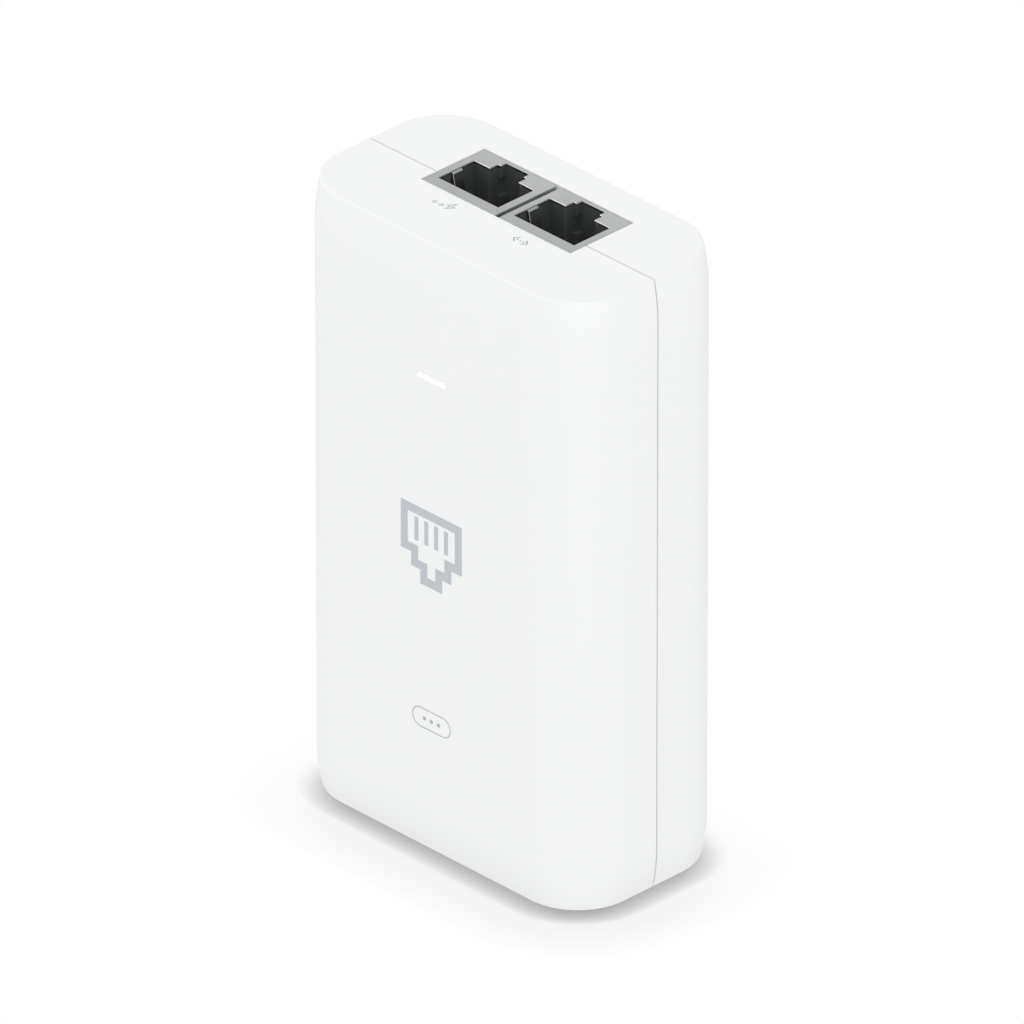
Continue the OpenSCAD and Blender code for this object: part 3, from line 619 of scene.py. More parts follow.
def inner_space(case):
    """The hollow of the case, a rounded block within the walls."""
    wall = Vector((case.wall,) * 3)
    return add_block(
        "inner_space", CASE_LOW + wall, CASE_HIGH - wall, 2, case.corner - case.wall)


def seam_block(grow, back, case):
    """A block a little larger than the hollow, for the tongue and its rebate."""
    margin = case.wall - grow
    return add_box(
        "seam_block",
        (CASE_LOW.x + margin, -case.tongue_reach, CASE_LOW.z + margin),
        (CASE_HIGH.x - margin, back, CASE_HIGH.z - margin))


def window_corners():
    """The corners of the cut-out that both sockets stand in."""
    gap, side_gap = 0.17 * MM, 0.2 * MM
    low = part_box("left_socket_shield")[0]
    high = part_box("right_socket_shield")[1]
    return (
        Vector((low.x - side_gap, low.y - gap, CASE_HIGH.z - WINDOW_CUT)),
        Vector((high.x + side_gap, BOARD_LOW.y + gap, CASE_HIGH.z + WINDOW_CUT)),
    )


def inlet_corners():
    """The corners of the cut-out that the AC inlet stands in."""
    gap = 0.15 * MM
    low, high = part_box("inlet_housing")
    return (
        Vector((low.x + FLANGE - gap, low.y + FLANGE - gap, CASE_LOW.z - WINDOW_CUT)),
        Vector((high.x - FLANGE + gap, high.y + gap, CASE_LOW.z + WINDOW_CUT)),
    )


def screw_spots():
    """The X and Z of the four case screws."""
    low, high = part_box("case_screws")
    return [
        (x, z)
        for x in (low.x + SCREW_HEAD, high.x - SCREW_HEAD)
        for z in (low.z + SCREW_HEAD, high.z - SCREW_HEAD)
    ]


def cut_openings(shell, case):
    """Cut the socket window and the inlet window, and break their edges."""
    for corners, height in ((window_corners(), CASE_HIGH.z), (inlet_corners(), CASE_LOW.z)):
        subtract(shell, add_box("window", *corners))

        def on_window(edge):
            return lies_at(edge, 2, height) and any(
                lies_at(edge, axis, corner[axis]) for axis in (0, 1) for corner in corners)

        round_edges(shell, on_window, case.lip)


def light_corners(grow):
    """The corners of the status light's slot, grown by a margin."""
    low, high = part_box("light_pipe")
    width, height = 6.25 * MM, 1.04 * MM
    middle = (low.z + high.z) / 2
    return (
        Vector((-width / 2 - grow, CASE_LOW.y - PAST, middle - height / 2 - grow)),
        Vector((width / 2 + grow, CASE_LOW.y + WINDOW_CUT, middle + height / 2 + grow)),
    )


def stadium_block(name, low, high, axis, segments=10):
    """A block whose short ends along one axis are half round."""
    across = [high[i] - low[i] for i in range(3) if i != axis]
    nearly_half = 0.999 / 2
    return add_block(name, low, high, axis, min(across) * nearly_half, segments)


class INJECTOR_OT_case(Operator):
    """Mould the front and rear shells"""

    bl_idname = "injector.case"
    bl_label = "Case shells"

    def execute(self, context):
        case = context.scene.injector_case
        plastic = moulded_abs(context.scene.injector_looks)
        form = case_form(case)
        front = half_of(form, "front_shell_moulding", -1, case)
        rear = half_of(form, "rear_shell_moulding", 1, case)
        bpy.data.objects.remove(form)
        self.shape_rear(rear, case)
        self.shape_front(front, case)
        for shell, node in ((front, "front_shell"), (rear, "rear_shell")):
            smooth(shell)
            place(shell, plastic, "case", "case_white", node)
        return {"FINISHED"}

    def shape_front(self, front, case):
        """Hollow the front shell and give it its rebate, posts, slot and windows."""
        clearance, bore_deep, bore_radius = 0.05 * MM, 9.6 * MM, 1.5 * MM
        subtract(front, inner_space(case), seam_block(case.tongue + clearance, case.wall, case))
        for x, z in screw_spots():
            base = CASE_LOW.y + case.wall / 2
            unite(front, add_rod("post", (x, base, z), (x, BOARD_LOW.y, z), case.post / 2))
            subtract(front, add_rod(
                "bore", (x, BOARD_LOW.y - bore_deep, z), (x, BOARD_HIGH.y, z), bore_radius))
        low, high = light_corners(0)
        subtract(front, stadium_block("slot", low, high, 1))
        round_edges(
            front,
            lambda edge: lies_at(edge, 1, CASE_LOW.y) and all(
                low.z - NEAR < v.co.z < high.z + NEAR and abs(v.co.x) < high.x + NEAR
                for v in edge.verts),
            case.lip)
        cut_openings(front, case)

    def shape_rear(self, rear, case):
        """Hollow the rear shell and give it its tongue, posts, wells and label pocket."""
        post_radius, bore_radius, gap, pocket_corner = 4.4 * MM, 1.55 * MM, 0.1 * MM, 2.1 * MM
        unite(rear, seam_block(case.tongue, case.wall, case))
        subtract(rear, inner_space(case))
        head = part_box("case_screws")[1].y - HEAD_HEIGHT
        for x, z in screw_spots():
            end = CASE_HIGH.y - 0.9 * case.wall
            unite(rear, add_rod("post", (x, BOARD_HIGH.y, z), (x, end, z), post_radius))
            subtract(
                rear,
                add_rod("bore", (x, 0, z), (x, CASE_HIGH.y, z), bore_radius),
                add_rod("well", (x, head, z), (x, CASE_HIGH.y + PAST, z), case.well / 2, 64))
        low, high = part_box("rating_label")
        subtract(rear, add_block(
            "pocket", (low.x - gap, CASE_HIGH.y - case.label_pocket, low.z - gap),
            (high.x + gap, CASE_HIGH.y + PAST, high.z + gap), 1, pocket_corner))
        cut_openings(rear, case)


class INJECTOR_OT_light(Operator):
    """Make the light pipe behind the slot in the front face"""

    bl_idname = "injector.light"
    bl_label = "Status light"

    def execute(self, context):
        recess, gap, lip, bar_deep = 0.05 * MM, 0.08 * MM, 0.08 * MM, 3 * MM
        flange_deep, start, inset = 1.2 * MM, 0.5 * MM, 0.01 * MM
        low, high = light_corners(-gap)
        pipe_low, pipe_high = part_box("light_pipe")
        low.y = CASE_LOW.y + recess
        high.y = CASE_LOW.y + bar_deep
        pipe = stadium_block("light_pipe_moulding", low, high, 1)
        round_edges(pipe, at(1, low.y), lip)
        flange_y = CASE_LOW.y + context.scene.injector_case.wall
        unite(
            pipe,
            add_box("flange", (pipe_low.x, flange_y, pipe_low.z),
                    (pipe_high.x, flange_y + flange_deep, pipe_high.z)),
            add_box("guide", (low.x, flange_y + start, pipe_low.z + inset),
                    (high.x, pipe_high.y, pipe_high.z - inset)))
        smooth(pipe)
        finish = diffusing_polycarbonate(context.scene.injector_looks)
        place(pipe, finish, "case", "light_white", "light_pipe")
        return {"FINISHED"}


# ---- sockets ----


def plug_cutters(x, face, deep, sockets, steps=2):
    """Cutters for the plug opening and its latch steps, from above the face downwards."""
    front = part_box("left_socket_shield")[0].y + sockets.front_rim
    outlines = [
        (sockets.plug_width, sockets.plug_depth),
        (sockets.outer_step, sockets.plug_depth + sockets.outer_reach),
        (sockets.inner_step, sockets.plug_depth + sockets.inner_reach),
    ]
    return [
        add_box("plug_cut", (x - width / 2, front, face - deep),
                (x + width / 2, front + reach, face + PAST))
        for width, reach in outlines[:steps + 1]
    ]


class INJECTOR_OT_shields(Operator):
    """Fold the two socket shields from sheet metal"""

    bl_idname = "injector.shields"
    bl_label = "Socket shields"

    def execute(self, context):
        sockets = context.scene.injector_sockets
        sheet, edge = metal("nickel_plated_shield"), metal("sheared_edge")
        # base colour paler from front to back: a painted reflection, under soft clouds of random tone
        fade(sheet, 1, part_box("left_socket_shield")[0].y, BOARD_LOW.y, "B2B4B4", "BDBFBE")
        for side in SIDES:
            node = f"{side}_socket_shield"
            shield = self.fold(node, sockets)
            smooth(shield)
            place(shield, sheet, "case", "shield_nickel", node)
            # the faces round the opening get a bright metal: a painted glint
            finish_edges(shield, edge, self.is_painted_glint(node, sockets))
        return {"FINISHED"}

    def fold(self, node, sockets):
        """A five-sided can with the plug opening and the board tabs."""
        corner, collar, punched = 0.3 * MM, 4 * MM, 0.13 * MM
        low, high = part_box(node)
        rear = BOARD_LOW.y
        middle = (low.x + high.x) / 2
        sheet = Vector((sockets.sheet,) * 3)
        high = Vector((high.x, rear, high.z))
        can = add_block(f"{node}_sheet", low, high, 2, corner, 4)
        round_edges(can, at(2, high.z), sockets.rim, 4)
        subtract(
            can,
            add_box("inside", low + sheet, high - sheet),
            add_box("board_side", (low.x + sheet.x, 0, low.z - PAST),
                    (high.x - sheet.x, rear + PAST, high.z - collar)),
            *plug_cutters(middle, high.z, 2 * sockets.sheet, sockets))
        round_edges(can, self.runs_across(high.z, low.y + sheet.y, rear - sheet.y), punched, 3)
        for sign in (-1, 1):
            unite(can, self.tab(high.x if sign > 0 else low.x, sign, rear, high.z, sheet.x))
        return can

    def tab(self, wall_x, sign, rear, face, thickness):
        """A round-cornered tab that goes through the board."""
        root, foot, top, corner = rear - 1.4 * MM, face - 12.8 * MM, face - 11.2 * MM, 0.4 * MM
        tip = rear + 2.8 * MM
        tab = add_box("tab", (wall_x, root, foot), (wall_x - sign * thickness, tip, top))
        round_edges(tab, lambda part: lies_at(part, 1, tip) and runs_along(part, 0), corner, 3)
        return tab

    def runs_across(self, face, near, far):
        """A test for the upper edges of the opening that run from side to side."""
        def test(edge):
            inside = all(near < v.co.y < far for v in edge.verts)
            if not (inside and lies_at(edge, 2, face) and runs_along(edge, 0)):
                return False
            return any(abs(part.normal.y) > 0.9 for part in edge.link_faces)
        return test

    def is_painted_glint(self, node, sockets):
        """A test for the faces round the opening that face front or back, which get the painted glint.
        """
        low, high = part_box(node)
        near, far = low.y + 2 * sockets.sheet, BOARD_LOW.y - 2 * sockets.sheet
        deep = high.z - sockets.sheet - 0.01 * MM

        def test(face):
            middle = face.calc_center_median()
            return near < middle.y < far and middle.z > deep and abs(face.normal.y) > 0.3
        return test


def spring_node(socket, sign):
    """The node of a socket's ground spring on one side of the opening."""
    return f"{socket}_ground_spring_{'b' if sign > 0 else 'a'}"


def finish_edges(piece, finish, test):
    """Give the faces that pass a test a second material."""
    piece.data.materials.append(finish)
    with editing(piece):
        pick(piece, "faces", test)
        piece.active_material_index = len(piece.data.materials) - 1
        bpy.ops.object.material_slot_assign()


class INJECTOR_OT_housings(Operator):
    """Mould the two socket housings, with their latch channels and comb slots"""

    bl_idname = "injector.housings"
    bl_label = "Socket housings"

    def execute(self, context):
        sockets = context.scene.injector_sockets
        plastic = glass_filled_nylon(context.scene.injector_looks)
        for side in SIDES:
            node = f"{side}_socket_housing"
            housing = self.mould(node, side, sockets)
            smooth(housing)
            place(housing, plastic, "case", "socket_black", node)
        return {"FINISHED"}

    def mould(self, node, side, sockets):
        """A block with the plug's space, the latch channel, the comb and the spring slots."""
        low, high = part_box(node)
        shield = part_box(f"{side}_socket_shield")
        face, rear = shield[1].z, BOARD_LOW.y
        middle = (low.x + high.x) / 2
        front = shield[0].y + sockets.front_rim
        plug_rear = front + sockets.plug_depth
        channel_rear = plug_rear + sockets.inner_reach
        floor = face - sockets.plug_reach
        top = face - sockets.sheet - sockets.under_sheet
        rear_gap, foot, overlap = 0.3 * MM, 4.1 * MM, 0.02 * MM
        peg_out, peg_down, peg_end, peg_radius = 5.715 * MM, 9 * MM, 2.2 * MM, 1.5 * MM
        body = add_box(f"{node}_moulding", low, (high.x, rear - rear_gap, top))
        unite(body, add_box("foot", (low.x, 0, low.z), (high.x, rear, face - foot)))
        for sign in (-1, 1):
            x, z = middle + sign * peg_out, face - peg_down
            unite(body, add_rod("peg", (x, rear - PAST, z), (x, rear + peg_end, z), peg_radius, 32))
        subtract(body, *plug_cutters(middle, face, sockets.catch, sockets))
        subtract(body, *plug_cutters(middle, face, sockets.plug_reach, sockets, steps=0))
        half = sockets.outer_step / 2
        latch = add_box("latch_channel", (middle - half, front, floor),
                        (middle + half, channel_rear, face - sockets.catch + overlap))
        for sign in (-1, 1):
            outer = middle + sign * (half + PAST)
            inner = middle + sign * (half - sockets.ledge_width)
            subtract(latch, add_box(
                "ledge", (outer, channel_rear - sockets.ledge_length, floor - PAST),
                (inner, channel_rear + PAST, face - sockets.ledge)))
        subtract(body, latch)
        soft, slight, past = 0.4 * MM, 0.1 * MM, 0.1 * MM
        nose_y = plug_rear + sockets.outer_reach
        round_edges(body, self.is_corner(middle, half, plug_rear), soft, 4)
        round_edges(body, self.is_corner(middle, sockets.inner_step / 2, nose_y), slight)
        # the contact wires run in a channel behind the contact side, and come in above it
        reach, channel_deep, comb_top, comb_foot = 4.3 * MM, 1.2 * MM, 1.6 * MM, 4.6 * MM
        subtract(
            body,
            add_box("channel", (middle - reach, shield[0].y, low.z - PAST),
                    (middle + reach, shield[0].y + channel_deep, face - comb_top)),
            add_box("way_in", (middle - reach, shield[0].y, face - comb_foot),
                    (middle + reach, front + past, face - comb_top)))
        slot_end, slot_deep, slot_gap = 8 * MM, 8.6 * MM, 0.2 * MM
        for sign in (-1, 1):
            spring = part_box(spring_node(f"{side}_socket", sign))
            inner = middle + sign * (sockets.plug_width / 2 - past)
            outer = middle + sign * slot_end
            subtract(body, add_box(
                "spring_slot", (inner, spring[0].y - slot_gap, face - slot_deep),
                (outer, spring[1].y + slot_gap, face)))
        return body

    def is_corner(self, middle, reach, y):
        """A test for the pair of upright edges at a distance from the socket's middle."""
        def test(edge):
            spot = edge.verts[0].co
            return (runs_along(edge, 2) and abs(abs(spot.x - middle) - reach) < NEAR
                    and abs(spot.y - y) < NEAR)
        return test


class INJECTOR_OT_ground_springs(Operator):
    """Bend the ground springs at the sides of each plug opening"""

    bl_idname = "injector.ground_springs"
    bl_label = "Ground springs"

    def execute(self, context):
        sockets = context.scene.injector_sockets
        strip, edge = metal("nickel_plated_spring"), metal("tumbled_edge")
        for side in SIDES:
            for end, sign in (("a", -1), ("b", 1)):
                node = spring_node(f"{side}_socket", sign)
                spring = self.bend(node, side, sign, sockets)
                smooth(spring, 40)
                place(spring, strip, f"{side}_ground_spring_{end}", "shield_nickel", node)
                # the strip's front faces get a pale finish: a painted highlight line
                finish_edges(spring, edge, lambda face: face.normal.y < -0.7)
        return {"FINISHED"}

    def bend(self, node, side, sign, sockets):
        """A strip that rolls over just below the sheet's top and bows into the opening."""
        low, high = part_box(node)
        shield_low, shield_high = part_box(f"{side}_socket_shield")
        thick, roll, start, lip = sockets.strip, 0.3 * MM, 0.1 * MM, 0.05 * MM
        inside, under = 0.04 * MM, 0.14 * MM
        middle = (shield_low.x + shield_high.x) / 2
        edge = middle + sign * (sockets.plug_width / 2 - inside)
        centre = Vector((edge, 0, shield_high.z - under - roll - thick / 2))
        hang = edge - sign * roll
        bottom = centre.z - start
        spring = add_box(
            f"{node}_strip", (hang - thick / 2, low.y, bottom), (hang + thick / 2, high.y, centre.z))
        with editing(spring):
            pick(spring, "faces", at(2, centre.z))
            bpy.ops.mesh.spin(
                steps=8, angle=-math.pi / 2 * sign, center=centre, axis=(0, 1, 0))
        turns = 14
        with editing(spring):
            pick(spring, "faces", at(2, bottom))
            for i in range(turns):
                step = math.sin(math.pi * (i + 1) / turns) - math.sin(math.pi * i / turns)
                bpy.ops.mesh.extrude_region_move(TRANSFORM_OT_translate={
                    "value": (-sign * step * sockets.bulge, 0, (low.z - bottom) / turns)})
            pick_all()
            bpy.ops.mesh.remove_doubles(threshold=MERGE)
            bpy.ops.mesh.normals_make_consistent(inside=False)
        round_edges(spring, lambda part: lies_at(part, 2, low.z) and runs_along(part, 0), lip)
        return spring


class INJECTOR_OT_contacts(Operator):
    """Make the sprung parts of the contact wires, and give them and the fixed terminals their gold
    finish
    """

    bl_idname = "injector.contacts"
    bl_label = "Contact wires"

    def execute(self, context):
        sockets = context.scene.injector_sockets
        gold = metal("gold_plated_bronze")
        for side in SIDES:
            sprung = self.sprung_wires(side, sockets)
            smooth(sprung, 50)
            place(sprung, gold, f"{side}_contacts", "contact_gold", f"{side}_socket_contacts")
            give_finish(frame["nodes"][f"{side}_socket_terminals"], gold)
        return {"FINISHED"}

    def sprung_wires(self, side, sockets):
        """Round wires with domed tips, each along its own part of the CAD node."""
        low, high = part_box(f"{side}_socket_contacts")
        radius = sockets.wire / 2
        first, last = low.x + radius, high.x - radius
        pitch = (last - first) / (sockets.wires - 1)
        top = Vector((0, low.y + radius, high.z - radius))
        tip = Vector((0, high.y - radius, low.z + radius))
        wires = []
        thinner, dome = 0.98, 0.6
        for i in range(sockets.wires):
            aside = Vector((first + i * pitch, 0, 0))
            wire = add_rod("wire", top + aside, tip + aside, radius * thinner, 16)
            round_edges(wire, self.is_rim, radius * dome, 3)
            wires.append(wire)
        return join(f"{side}_contact_wires", wires)

    @staticmethod
    def is_rim(edge):
        """Whether an edge is on a wire's end, where a face of many sides meets a side face."""
        return any(len(face.verts) > 4 for face in edge.link_faces)


# ---- AC inlet ----


class INJECTOR_OT_inlet(Operator):
    """Mould the AC inlet and its three pins"""

    bl_idname = "injector.inlet"
    bl_label = "AC inlet"

    def execute(self, context):
        plastic = glass_filled_nylon(context.scene.injector_looks)
        plastic.name = "glass_filled_nylon_inlet"
        housing = self.mould()
        smooth(housing)
        place(housing, plastic, "case", "socket_black", "inlet_housing")
        pins = self.make_pins()
        smooth(pins)
        place(pins, metal("nickel_plated_pin"), "case", "pin_nickel", "inlet_pins")
        return {"FINISHED"}

    def mould(self):
        """A block with a flange behind the wall and a cavity with two cut corners."""
        wall, flange_deep, corner, rim = 2.2 * MM, 1.5 * MM, 0.6 * MM, 0.25 * MM
        low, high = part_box("inlet_housing")
        body = add_block("inlet_moulding", (low.x + FLANGE, low.y + FLANGE, low.z),
                         (high.x - FLANGE, high.y, high.z), 2, corner, 5)
        round_edges(body, at(2, low.z), rim, 3)
        unite(body, add_box("flange", (low.x, low.y, wall), (high.x, high.y, wall + flange_deep)))
        middle = (low.y + FLANGE + high.y) / 2
        half_x, half_y, chamfer, deep = 12.3 * MM, 8.3 * MM, 4.2 * MM, 16.4 * MM
        inner_corner, mouth = 0.5 * MM, 0.2 * MM
        cavity = add_box("cavity", (-half_x, middle - half_y, low.z - PAST),
                         (half_x, middle + half_y, low.z + deep))
        round_edges(
            cavity, lambda edge: runs_along(edge, 2) and edge.verts[0].co.y < middle, chamfer, 1)
        round_edges(cavity, along(2), inner_corner, 4)
        subtract(body, cavity)
        round_edges(
            body,
            lambda edge: lies_at(edge, 2, low.z) and all(
                abs(v.co.x) < half_x + NEAR and abs(v.co.y - middle) < half_y + NEAR
                for v in edge.verts),
            mouth, 3)
        return body

    def make_pins(self):
        """Flat pins with tapered tips, and their legs to the board."""
        low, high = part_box("inlet_pins")
        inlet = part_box("inlet_housing")
        middle = (inlet[0].y + FLANGE + inlet[1].y) / 2
        width, depth, offset = 2 * MM, 4 * MM, 2 * MM
        corner, taper, leg_half = 0.25 * MM, 0.55 * MM, 0.5 * MM
        reach = high.x - width / 2
        pins = []
        for x, y in ((-reach, offset), (0, -offset), (reach, offset)):
            spot = Vector((x, middle + y, 0))
            pin = add_box("pin", spot + Vector((-width / 2, -depth / 2, low.z)),
                          spot + Vector((width / 2, depth / 2, high.z)))
            round_edges(pin, along(2), corner, 3)
            round_edges(pin, at(2, low.z), taper, 4)
            unite(pin, add_box("leg", (x - leg_half, spot.y, high.z - PAST),
                               (x + leg_half, high.y, high.z)))
            pins.append(pin)
        return join("inlet_pin_set", pins)


# ---- screws and label ----


class INJECTOR_OT_screws(Operator):
    """Make the four case screws, with cross-recessed pan heads"""

    bl_idname = "injector.screws"
    bl_label = "Case screws"

    def execute(self, context):
        crown, shank_radius, overlap = 0.9 * MM, 1.45 * MM, 0.2 * MM
        low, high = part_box("case_screws")
        head_base = high.y - HEAD_HEIGHT
        screws = []
        for x, z in screw_spots():
            screw = add_rod("screw", (x, head_base, z), (x, high.y, z), SCREW_HEAD)
            round_edges(screw, at(1, high.y), crown, 6)
            shank_end = (x, head_base + overlap, z)
            unite(screw, add_rod("shank", (x, low.y, z), shank_end, shank_radius, 32))
            for turn in (0, math.pi / 2):
                subtract(screw, self.recess(x, high.y, z, turn))
            screws.append(screw)
        pieces = join("case_screw_set", screws)
        smooth(pieces)
        place(pieces, metal("zinc_plated_steel"), "case", "screw_steel", "case_screws")
        return {"FINISHED"}

    def recess(self, x, top, z, turn):
        """One slot of the cross, narrower at its bottom."""
        length, width, deep, narrower = 3 * MM, 0.75 * MM, 1.2 * MM, 0.55
        deselect()
        bpy.ops.mesh.primitive_cube_add(
            size=1, location=(x, top, z), rotation=(0, turn, 0), scale=(length, 2 * deep, width))
        slot = settle(bpy.context.object, "recess")
        bottom = top - deep
        with editing(slot):
            pick(slot, "verts", lambda vertex: abs(vertex.co.y - bottom) < NEAR)
            bpy.ops.transform.resize(
                value=(narrower, 1, narrower), center_override=(x, bottom, z))
        return slot


class INJECTOR_OT_label(Operator):
    """Lay the blank label in its pocket on the rear face"""

    bl_idname = "injector.label"
    bl_label = "Blank label"

    def execute(self, context):
        corner, lip = 2 * MM, 0.05 * MM
        low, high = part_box("rating_label")
        label = add_block("blank_label", low, high, 1, corner)
        round_edges(label, at(1, high.y), lip)
        smooth(label)
        place(label, blank_label_paper(), "case", "label", "rating_label")
        return {"FINISHED"}


# ---- printed marks ----


INK_PROUD = 0.01 * MM
INK_SUNK = 0.03 * MM


def on_top(x, y, proud):
    """A place on the top face, given by its X and Y in millimetres."""
    return Vector((x * MM, y * MM, CASE_HIGH.z + proud))


def on_front(x, z, proud):
    """A place on the front face, given by its X and Z in millimetres."""
    return Vector((x * MM, CASE_LOW.y - proud, z * MM))


def printed(name, points, surface, line=None):
    """A flat print with this outline, filled in or drawn as a line of one width."""
    deselect()
    bpy.ops.mesh.primitive_circle_add(vertices=len(points), radius=MM, fill_type="NGON")
    mark = settle(bpy.context.object, name)
    for vertex, (u, v) in zip(mark.data.vertices, points):
        vertex.co = surface(u, v, -INK_SUNK)
    with editing(mark):
        pick_all()
        if line:
            bpy.ops.mesh.inset(thickness=line * MM, depth=0, use_even_offset=True)
            bpy.ops.mesh.delete(type="FACE")
            pick_all()
        rise = surface(0, 0, INK_PROUD) - surface(0, 0, -INK_SUNK)
        bpy.ops.mesh.extrude_region_move(TRANSFORM_OT_translate={"value": rise})
        pick_all()
        bpy.ops.mesh.normals_make_consistent(inside=False)
    return mark


def bar(start, end, width):
    """The four corners of a straight bar between two points."""
    start, end = Vector(start), Vector(end)
    side = (end - start).normalized().orthogonal() * width / 2
    return [start + side, end + side, end - side, start - side]


def cross(x, y, arm, width):
    """The twelve corners of a plus sign."""
    half = width / 2
    quarter = [(arm, -half), (arm, half), (half, half)]
    turns = ((1, 0), (0, 1), (-1, 0), (0, -1))
    return [(x + u * c - v * s, y + u * s + v * c) for c, s in turns for u, v in quarter]


def pill(half_w, half_h, middle, segments=14):
    """The outline of a bar with half-round ends."""
    outline = []
    for sign in (1, -1):
        for i in range(segments + 1):
            angle = math.pi * (i / segments - 0.5)
            outline.append((
                sign * (half_w - half_h + half_h * math.cos(angle)),
                middle + sign * half_h * math.sin(angle)))
    return outline


class INJECTOR_OT_marks(Operator):
    """Print the plain pictograms beside the sockets and on the front face"""

    bl_idname = "injector.marks"
    bl_label = "Printed marks"

    def execute(self, context):
        looks = context.scene.injector_looks
        fine = pad_print("pad_print_fine", looks.print_dark)
        broad = pad_print("pad_print_broad", looks.print_pale)
        for name, marks, ink in (
            ("power_socket_mark", self.power_mark(), fine),
            ("data_socket_mark", self.data_mark(), fine),
            ("front_pill_mark", self.pill_mark(), fine),
            ("front_socket_mark", self.socket_pictogram(), broad),
        ):
            place(join(name, marks), ink, "case", "print_grey")
        return {"FINISHED"}

    def power_mark(self):
        """Two plus signs and a bolt, for the socket that carries power."""
        row, line = -6.7, 0.165
        bolt = [
            (-6.31, row + 1.95), (-6.45, row + 0.82), (-5.72, row + 0.82),
            (-6.92, row - 0.66), (-6.78, row + 0.47), (-7.5, row + 0.47),
        ]
        return [
            printed("plus", cross(-9.4, row, 0.58, line), on_top),
            printed("plus", cross(-8.02, row, 0.55, line), on_top),
            printed("bolt", bolt, on_top, line),
        ]

    def data_mark(self):
        """Two square brackets with dots between, for the socket that carries data only."""
        middle, row = 8.03, -6.0
        corner, arm, line, dot = 1.55, 0.8, 0.24, 0.3
        marks = [
            printed("bracket", self.corner_at(middle, row, side, corner, arm, line), on_top)
            for side in (-1, 1)
        ]
        for step in (-1, 0, 1):
            x = middle + 0.63 * step
            marks.append(printed("dot", bar((x - dot / 2, row), (x + dot / 2, row), dot), on_top))
        return marks

    def corner_at(self, middle, row, side, reach, arm, line):
        """An angle bracket made of two arms that meet at its tip."""
        tip = Vector((middle + side * reach, row))
        lean = Vector((-side, 0))
        up, down = (lean + Vector((0, 1))) * arm, (lean - Vector((0, 1))) * arm
        inner = Vector((-side * line * math.sqrt(2), 0))
        trim = Vector((0, line / math.sqrt(2)))
        points = [tip, tip + up, tip + up + inner / 2 - trim, tip + inner,
                  tip + down + inner / 2 + trim, tip + down]
        return points if side < 0 else points[::-1]

    def pill_mark(self):
        """A pill outline that holds three plain dots."""
        middle, half_w, half_h, line = 22.73, 4.1, 1.7, 0.17
        marks = [printed("pill", pill(half_w, half_h, middle), on_front, line)]
        for x in (-1.5, 0, 1.5):
            dot = [(x + u, v) for u, v in pill(0.34, 0.33, middle)]
            marks.append(printed("dot", dot, on_front))
        return marks

    def socket_pictogram(self):
        """A plain network socket outline: a stepped frame with contact bars inside."""
        middle, line, half = 52.15, 1.5, 6.5
        step_1, step_2 = 0.66 * half, 0.36 * half
        low, lower = -0.28 * half, -0.64 * half
        right = [(half, half), (half, low), (step_1, low), (step_1, lower),
                 (step_2, lower), (step_2, -half)]
        outline = right + [(-x, z) for x, z in reversed(right)]
        marks = [printed("frame", [(x, middle + z) for x, z in outline], on_front, line)]
        top, foot = middle + half - line - 0.45, middle + 0.5
        for i in range(4):
            x = (i - 1.5) * 2.1
            marks.append(printed("contact", bar((x, foot), (x, top), 0.85), on_front))
        return marks


# ---- parts inside ----


class INJECTOR_OT_inside(Operator):
    """Give the parts inside the case their own finishes"""

    bl_idname = "injector.inside"
    bl_label = "Parts inside"

    def execute(self, context):
        made = {}
        for row in frame["record"]["subparts"]:
            slot = row["material_slot"]
            if slot not in INNER_FINISHES or row["node"] == "case_screws":
                continue
            if slot not in made:
                made[slot] = inner_finish(slot)
            give_finish(frame["nodes"][row["node"]], made[slot])
        return {"FINISHED"}


# ---- stage ----


WHITE = (1, 1, 1, 1)


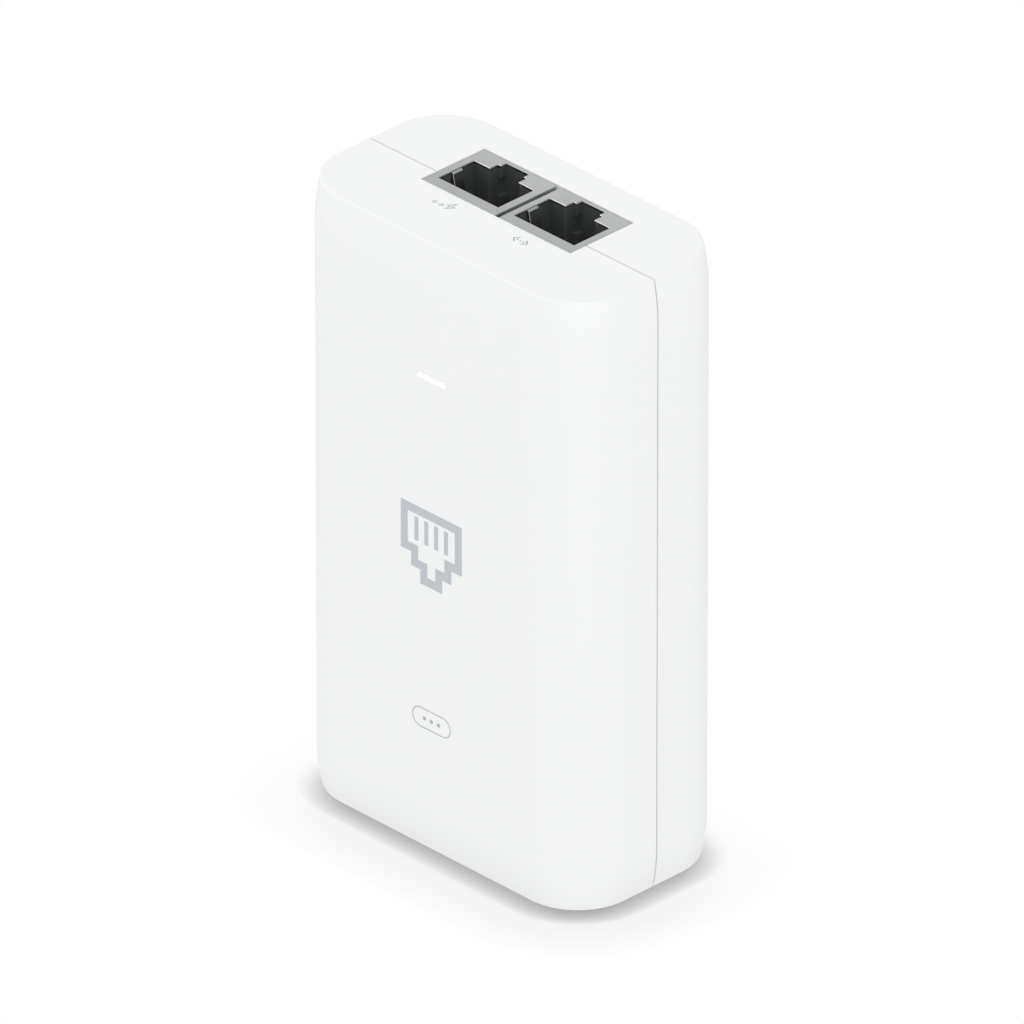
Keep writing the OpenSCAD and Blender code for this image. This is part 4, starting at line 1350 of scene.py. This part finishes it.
class INJECTOR_OT_stage(Operator):
    """Set the floor, the white surround, the two lamps and the camera"""

    bl_idname = "injector.stage"
    bl_label = "Stage"

    def execute(self, context):
        stage = context.scene.injector_stage
        self.add_floor(stage)
        self.set_surround(context.scene, stage)
        self.add_lamp("key_lamp", stage.key, stage, 50, 42)
        self.add_lamp("fill_lamp", stage.fill, stage, -80, 25)
        self.add_camera(context.scene, stage)
        context.scene.view_settings.view_transform = "Standard"
        return {"FINISHED"}

    def away(self, stage, azimuth, elevation, distance):
        """A point seen from the camera's aim at two angles."""
        level = math.cos(elevation) * distance
        return Vector((
            math.sin(azimuth) * level, -math.cos(azimuth) * level,
            math.sin(elevation) * distance,
        )) + Vector(stage.aim)

    def add_floor(self, stage):
        """A white floor, shown as paper white and darker only close to the case."""
        deselect()
        width, below, over_dome = 8, 0.02 * MM, 1.11
        bpy.ops.mesh.primitive_plane_add(size=width, location=(0, 0, CASE_LOW.z - below))
        floor = settle(bpy.context.object, "floor")
        with editing(floor):
            pick_all()
            bpy.ops.mesh.subdivide(number_cuts=3)
        paper = bpy.data.materials.new("floor_paper")
        paper.use_nodes = True
        # how far each shade reaches, and its tone where it is darkest
        close, wide = (4 * MM, 0.22), (14 * MM, 0.76)
        tree = paper.node_tree
        tree.nodes.clear()
        tone = reckon(tree, "MULTIPLY", self.open_share(tree, *close), self.open_share(tree, *wide))
        lit = {"Color": WHITE, "Strength": over_dome * stage.dome}
        self.two_faced(tree, "Emission", lit, {"Color": tone}, "OutputMaterial")
        floor.data.materials.append(paper)

    def two_faced(self, tree, kind, lit, seen, output):
        """Light the scene in one way, and look another to the camera, and in gloss and glass."""
        rays = add_node(tree, "LightPath")
        shown = rays.outputs["Is Camera Ray"]
        for ray in ("Is Glossy Ray", "Is Transmission Ray"):
            shown = reckon(tree, "MAXIMUM", shown, rays.outputs[ray])
        faces = [
            add_node(tree, kind, lit).outputs[kind],
            add_node(tree, kind, {"Color": WHITE, "Strength": 1.0}, seen).outputs[kind],
        ]
        mix = add_node(tree, "MixShader", {}, {0: shown, 1: faces[0], 2: faces[1]})
        add_node(tree, output, {}, {"Surface": mix.outputs["Shader"]})

    def open_share(self, tree, reach, darkest):
        """How open the floor is within a reach: less in front of the case than beside it."""
        lean = {"X": -0.663, "Y": 0.65, "Z": 0.371}  # up, and away from the camera
        back = add_node(tree, "CombineXYZ", lean)
        near = add_node(
            tree, "AmbientOcclusion", {"Distance": reach, "samples": 16},
            {"Normal": back.outputs["Vector"]})
        return carry(tree, near.outputs["AO"], (0.0, 1.0), (darkest, 1.0))

    def set_surround(self, scene, stage):
        """A white world: plain white where it is seen, a little less as a lamp."""
        world = bpy.data.worlds.new("white_surround")
        world.use_nodes = True
        world.node_tree.nodes.clear()
        lit = {"Color": WHITE, "Strength": stage.dome}
        self.two_faced(world.node_tree, "Background", lit, {}, "OutputWorld")
        scene.world = world

    def add_lamp(self, name, power, stage, azimuth, elevation):
        """A broad soft lamp that shines on the middle of the case."""
        lamp = bpy.data.lights.new(name, "AREA")
        lamp.shape = "DISK"
        lamp.size = 1.0
        lamp.energy = power
        distance = 1.6
        self.point(name, lamp, stage, math.radians(azimuth), math.radians(elevation), distance)

    def point(self, name, data, stage, azimuth, elevation, distance):
        """Put a lamp or a camera at a place seen from the aim, and turn it to the aim."""
        piece = bpy.data.objects.new(name, data)
        bpy.context.scene.collection.objects.link(piece)
        piece.location = self.away(stage, azimuth, elevation, distance)
        aim = Vector(stage.aim) - piece.location
        piece.rotation_euler = aim.to_track_quat("-Z", "Y").to_euler()
        return piece

    def add_camera(self, scene, stage):
        """A long lens from the front right, aimed near the middle of the case."""
        data = bpy.data.cameras.new("camera")
        data.lens = stage.lens
        data.sensor_width = 36
        data.clip_start = 0.1
        data.clip_end = 20
        scene.camera = self.point(
            "camera", data, stage, stage.azimuth, stage.elevation, stage.distance)


# ---- panel and registration ----


STEPS = (
    INJECTOR_OT_stage, INJECTOR_OT_case, INJECTOR_OT_light, INJECTOR_OT_shields,
    INJECTOR_OT_housings, INJECTOR_OT_ground_springs, INJECTOR_OT_contacts,
    INJECTOR_OT_inlet, INJECTOR_OT_screws, INJECTOR_OT_label, INJECTOR_OT_marks,
    INJECTOR_OT_inside,
)


class INJECTOR_PT_panel(Panel):
    """The injector's steps and sizes in the sidebar"""

    bl_idname = "INJECTOR_PT_panel"
    bl_label = "PoE injector"
    bl_space_type = "VIEW_3D"
    bl_region_type = "UI"
    bl_category = "Injector"

    def draw(self, context):
        for step in STEPS:
            self.layout.operator(step.bl_idname)
        for name in GROUPS:
            group = getattr(context.scene, name)
            box = self.layout.box()
            for prop in group.bl_rna.properties:
                if not prop.is_readonly and prop.identifier != "name":
                    box.prop(group, prop.identifier)


GROUPS = {
    "injector_case": InjectorCase,
    "injector_sockets": InjectorSockets,
    "injector_looks": InjectorLooks,
    "injector_stage": InjectorStage,
}


def register():
    for name, group in GROUPS.items():
        bpy.utils.register_class(group)
        setattr(bpy.types.Scene, name, PointerProperty(type=group))
    for kind in (*STEPS, INJECTOR_PT_panel):
        bpy.utils.register_class(kind)


def unregister():
    for kind in (INJECTOR_PT_panel, *reversed(STEPS)):
        bpy.utils.unregister_class(kind)
    for name, group in reversed(GROUPS.items()):
        delattr(bpy.types.Scene, name)
        bpy.utils.unregister_class(group)


def main():
    register()
    for step in STEPS:
        area, name = step.bl_idname.split(".")
        getattr(getattr(bpy.ops, area), name)()


if __name__ == "__main__":
    main()
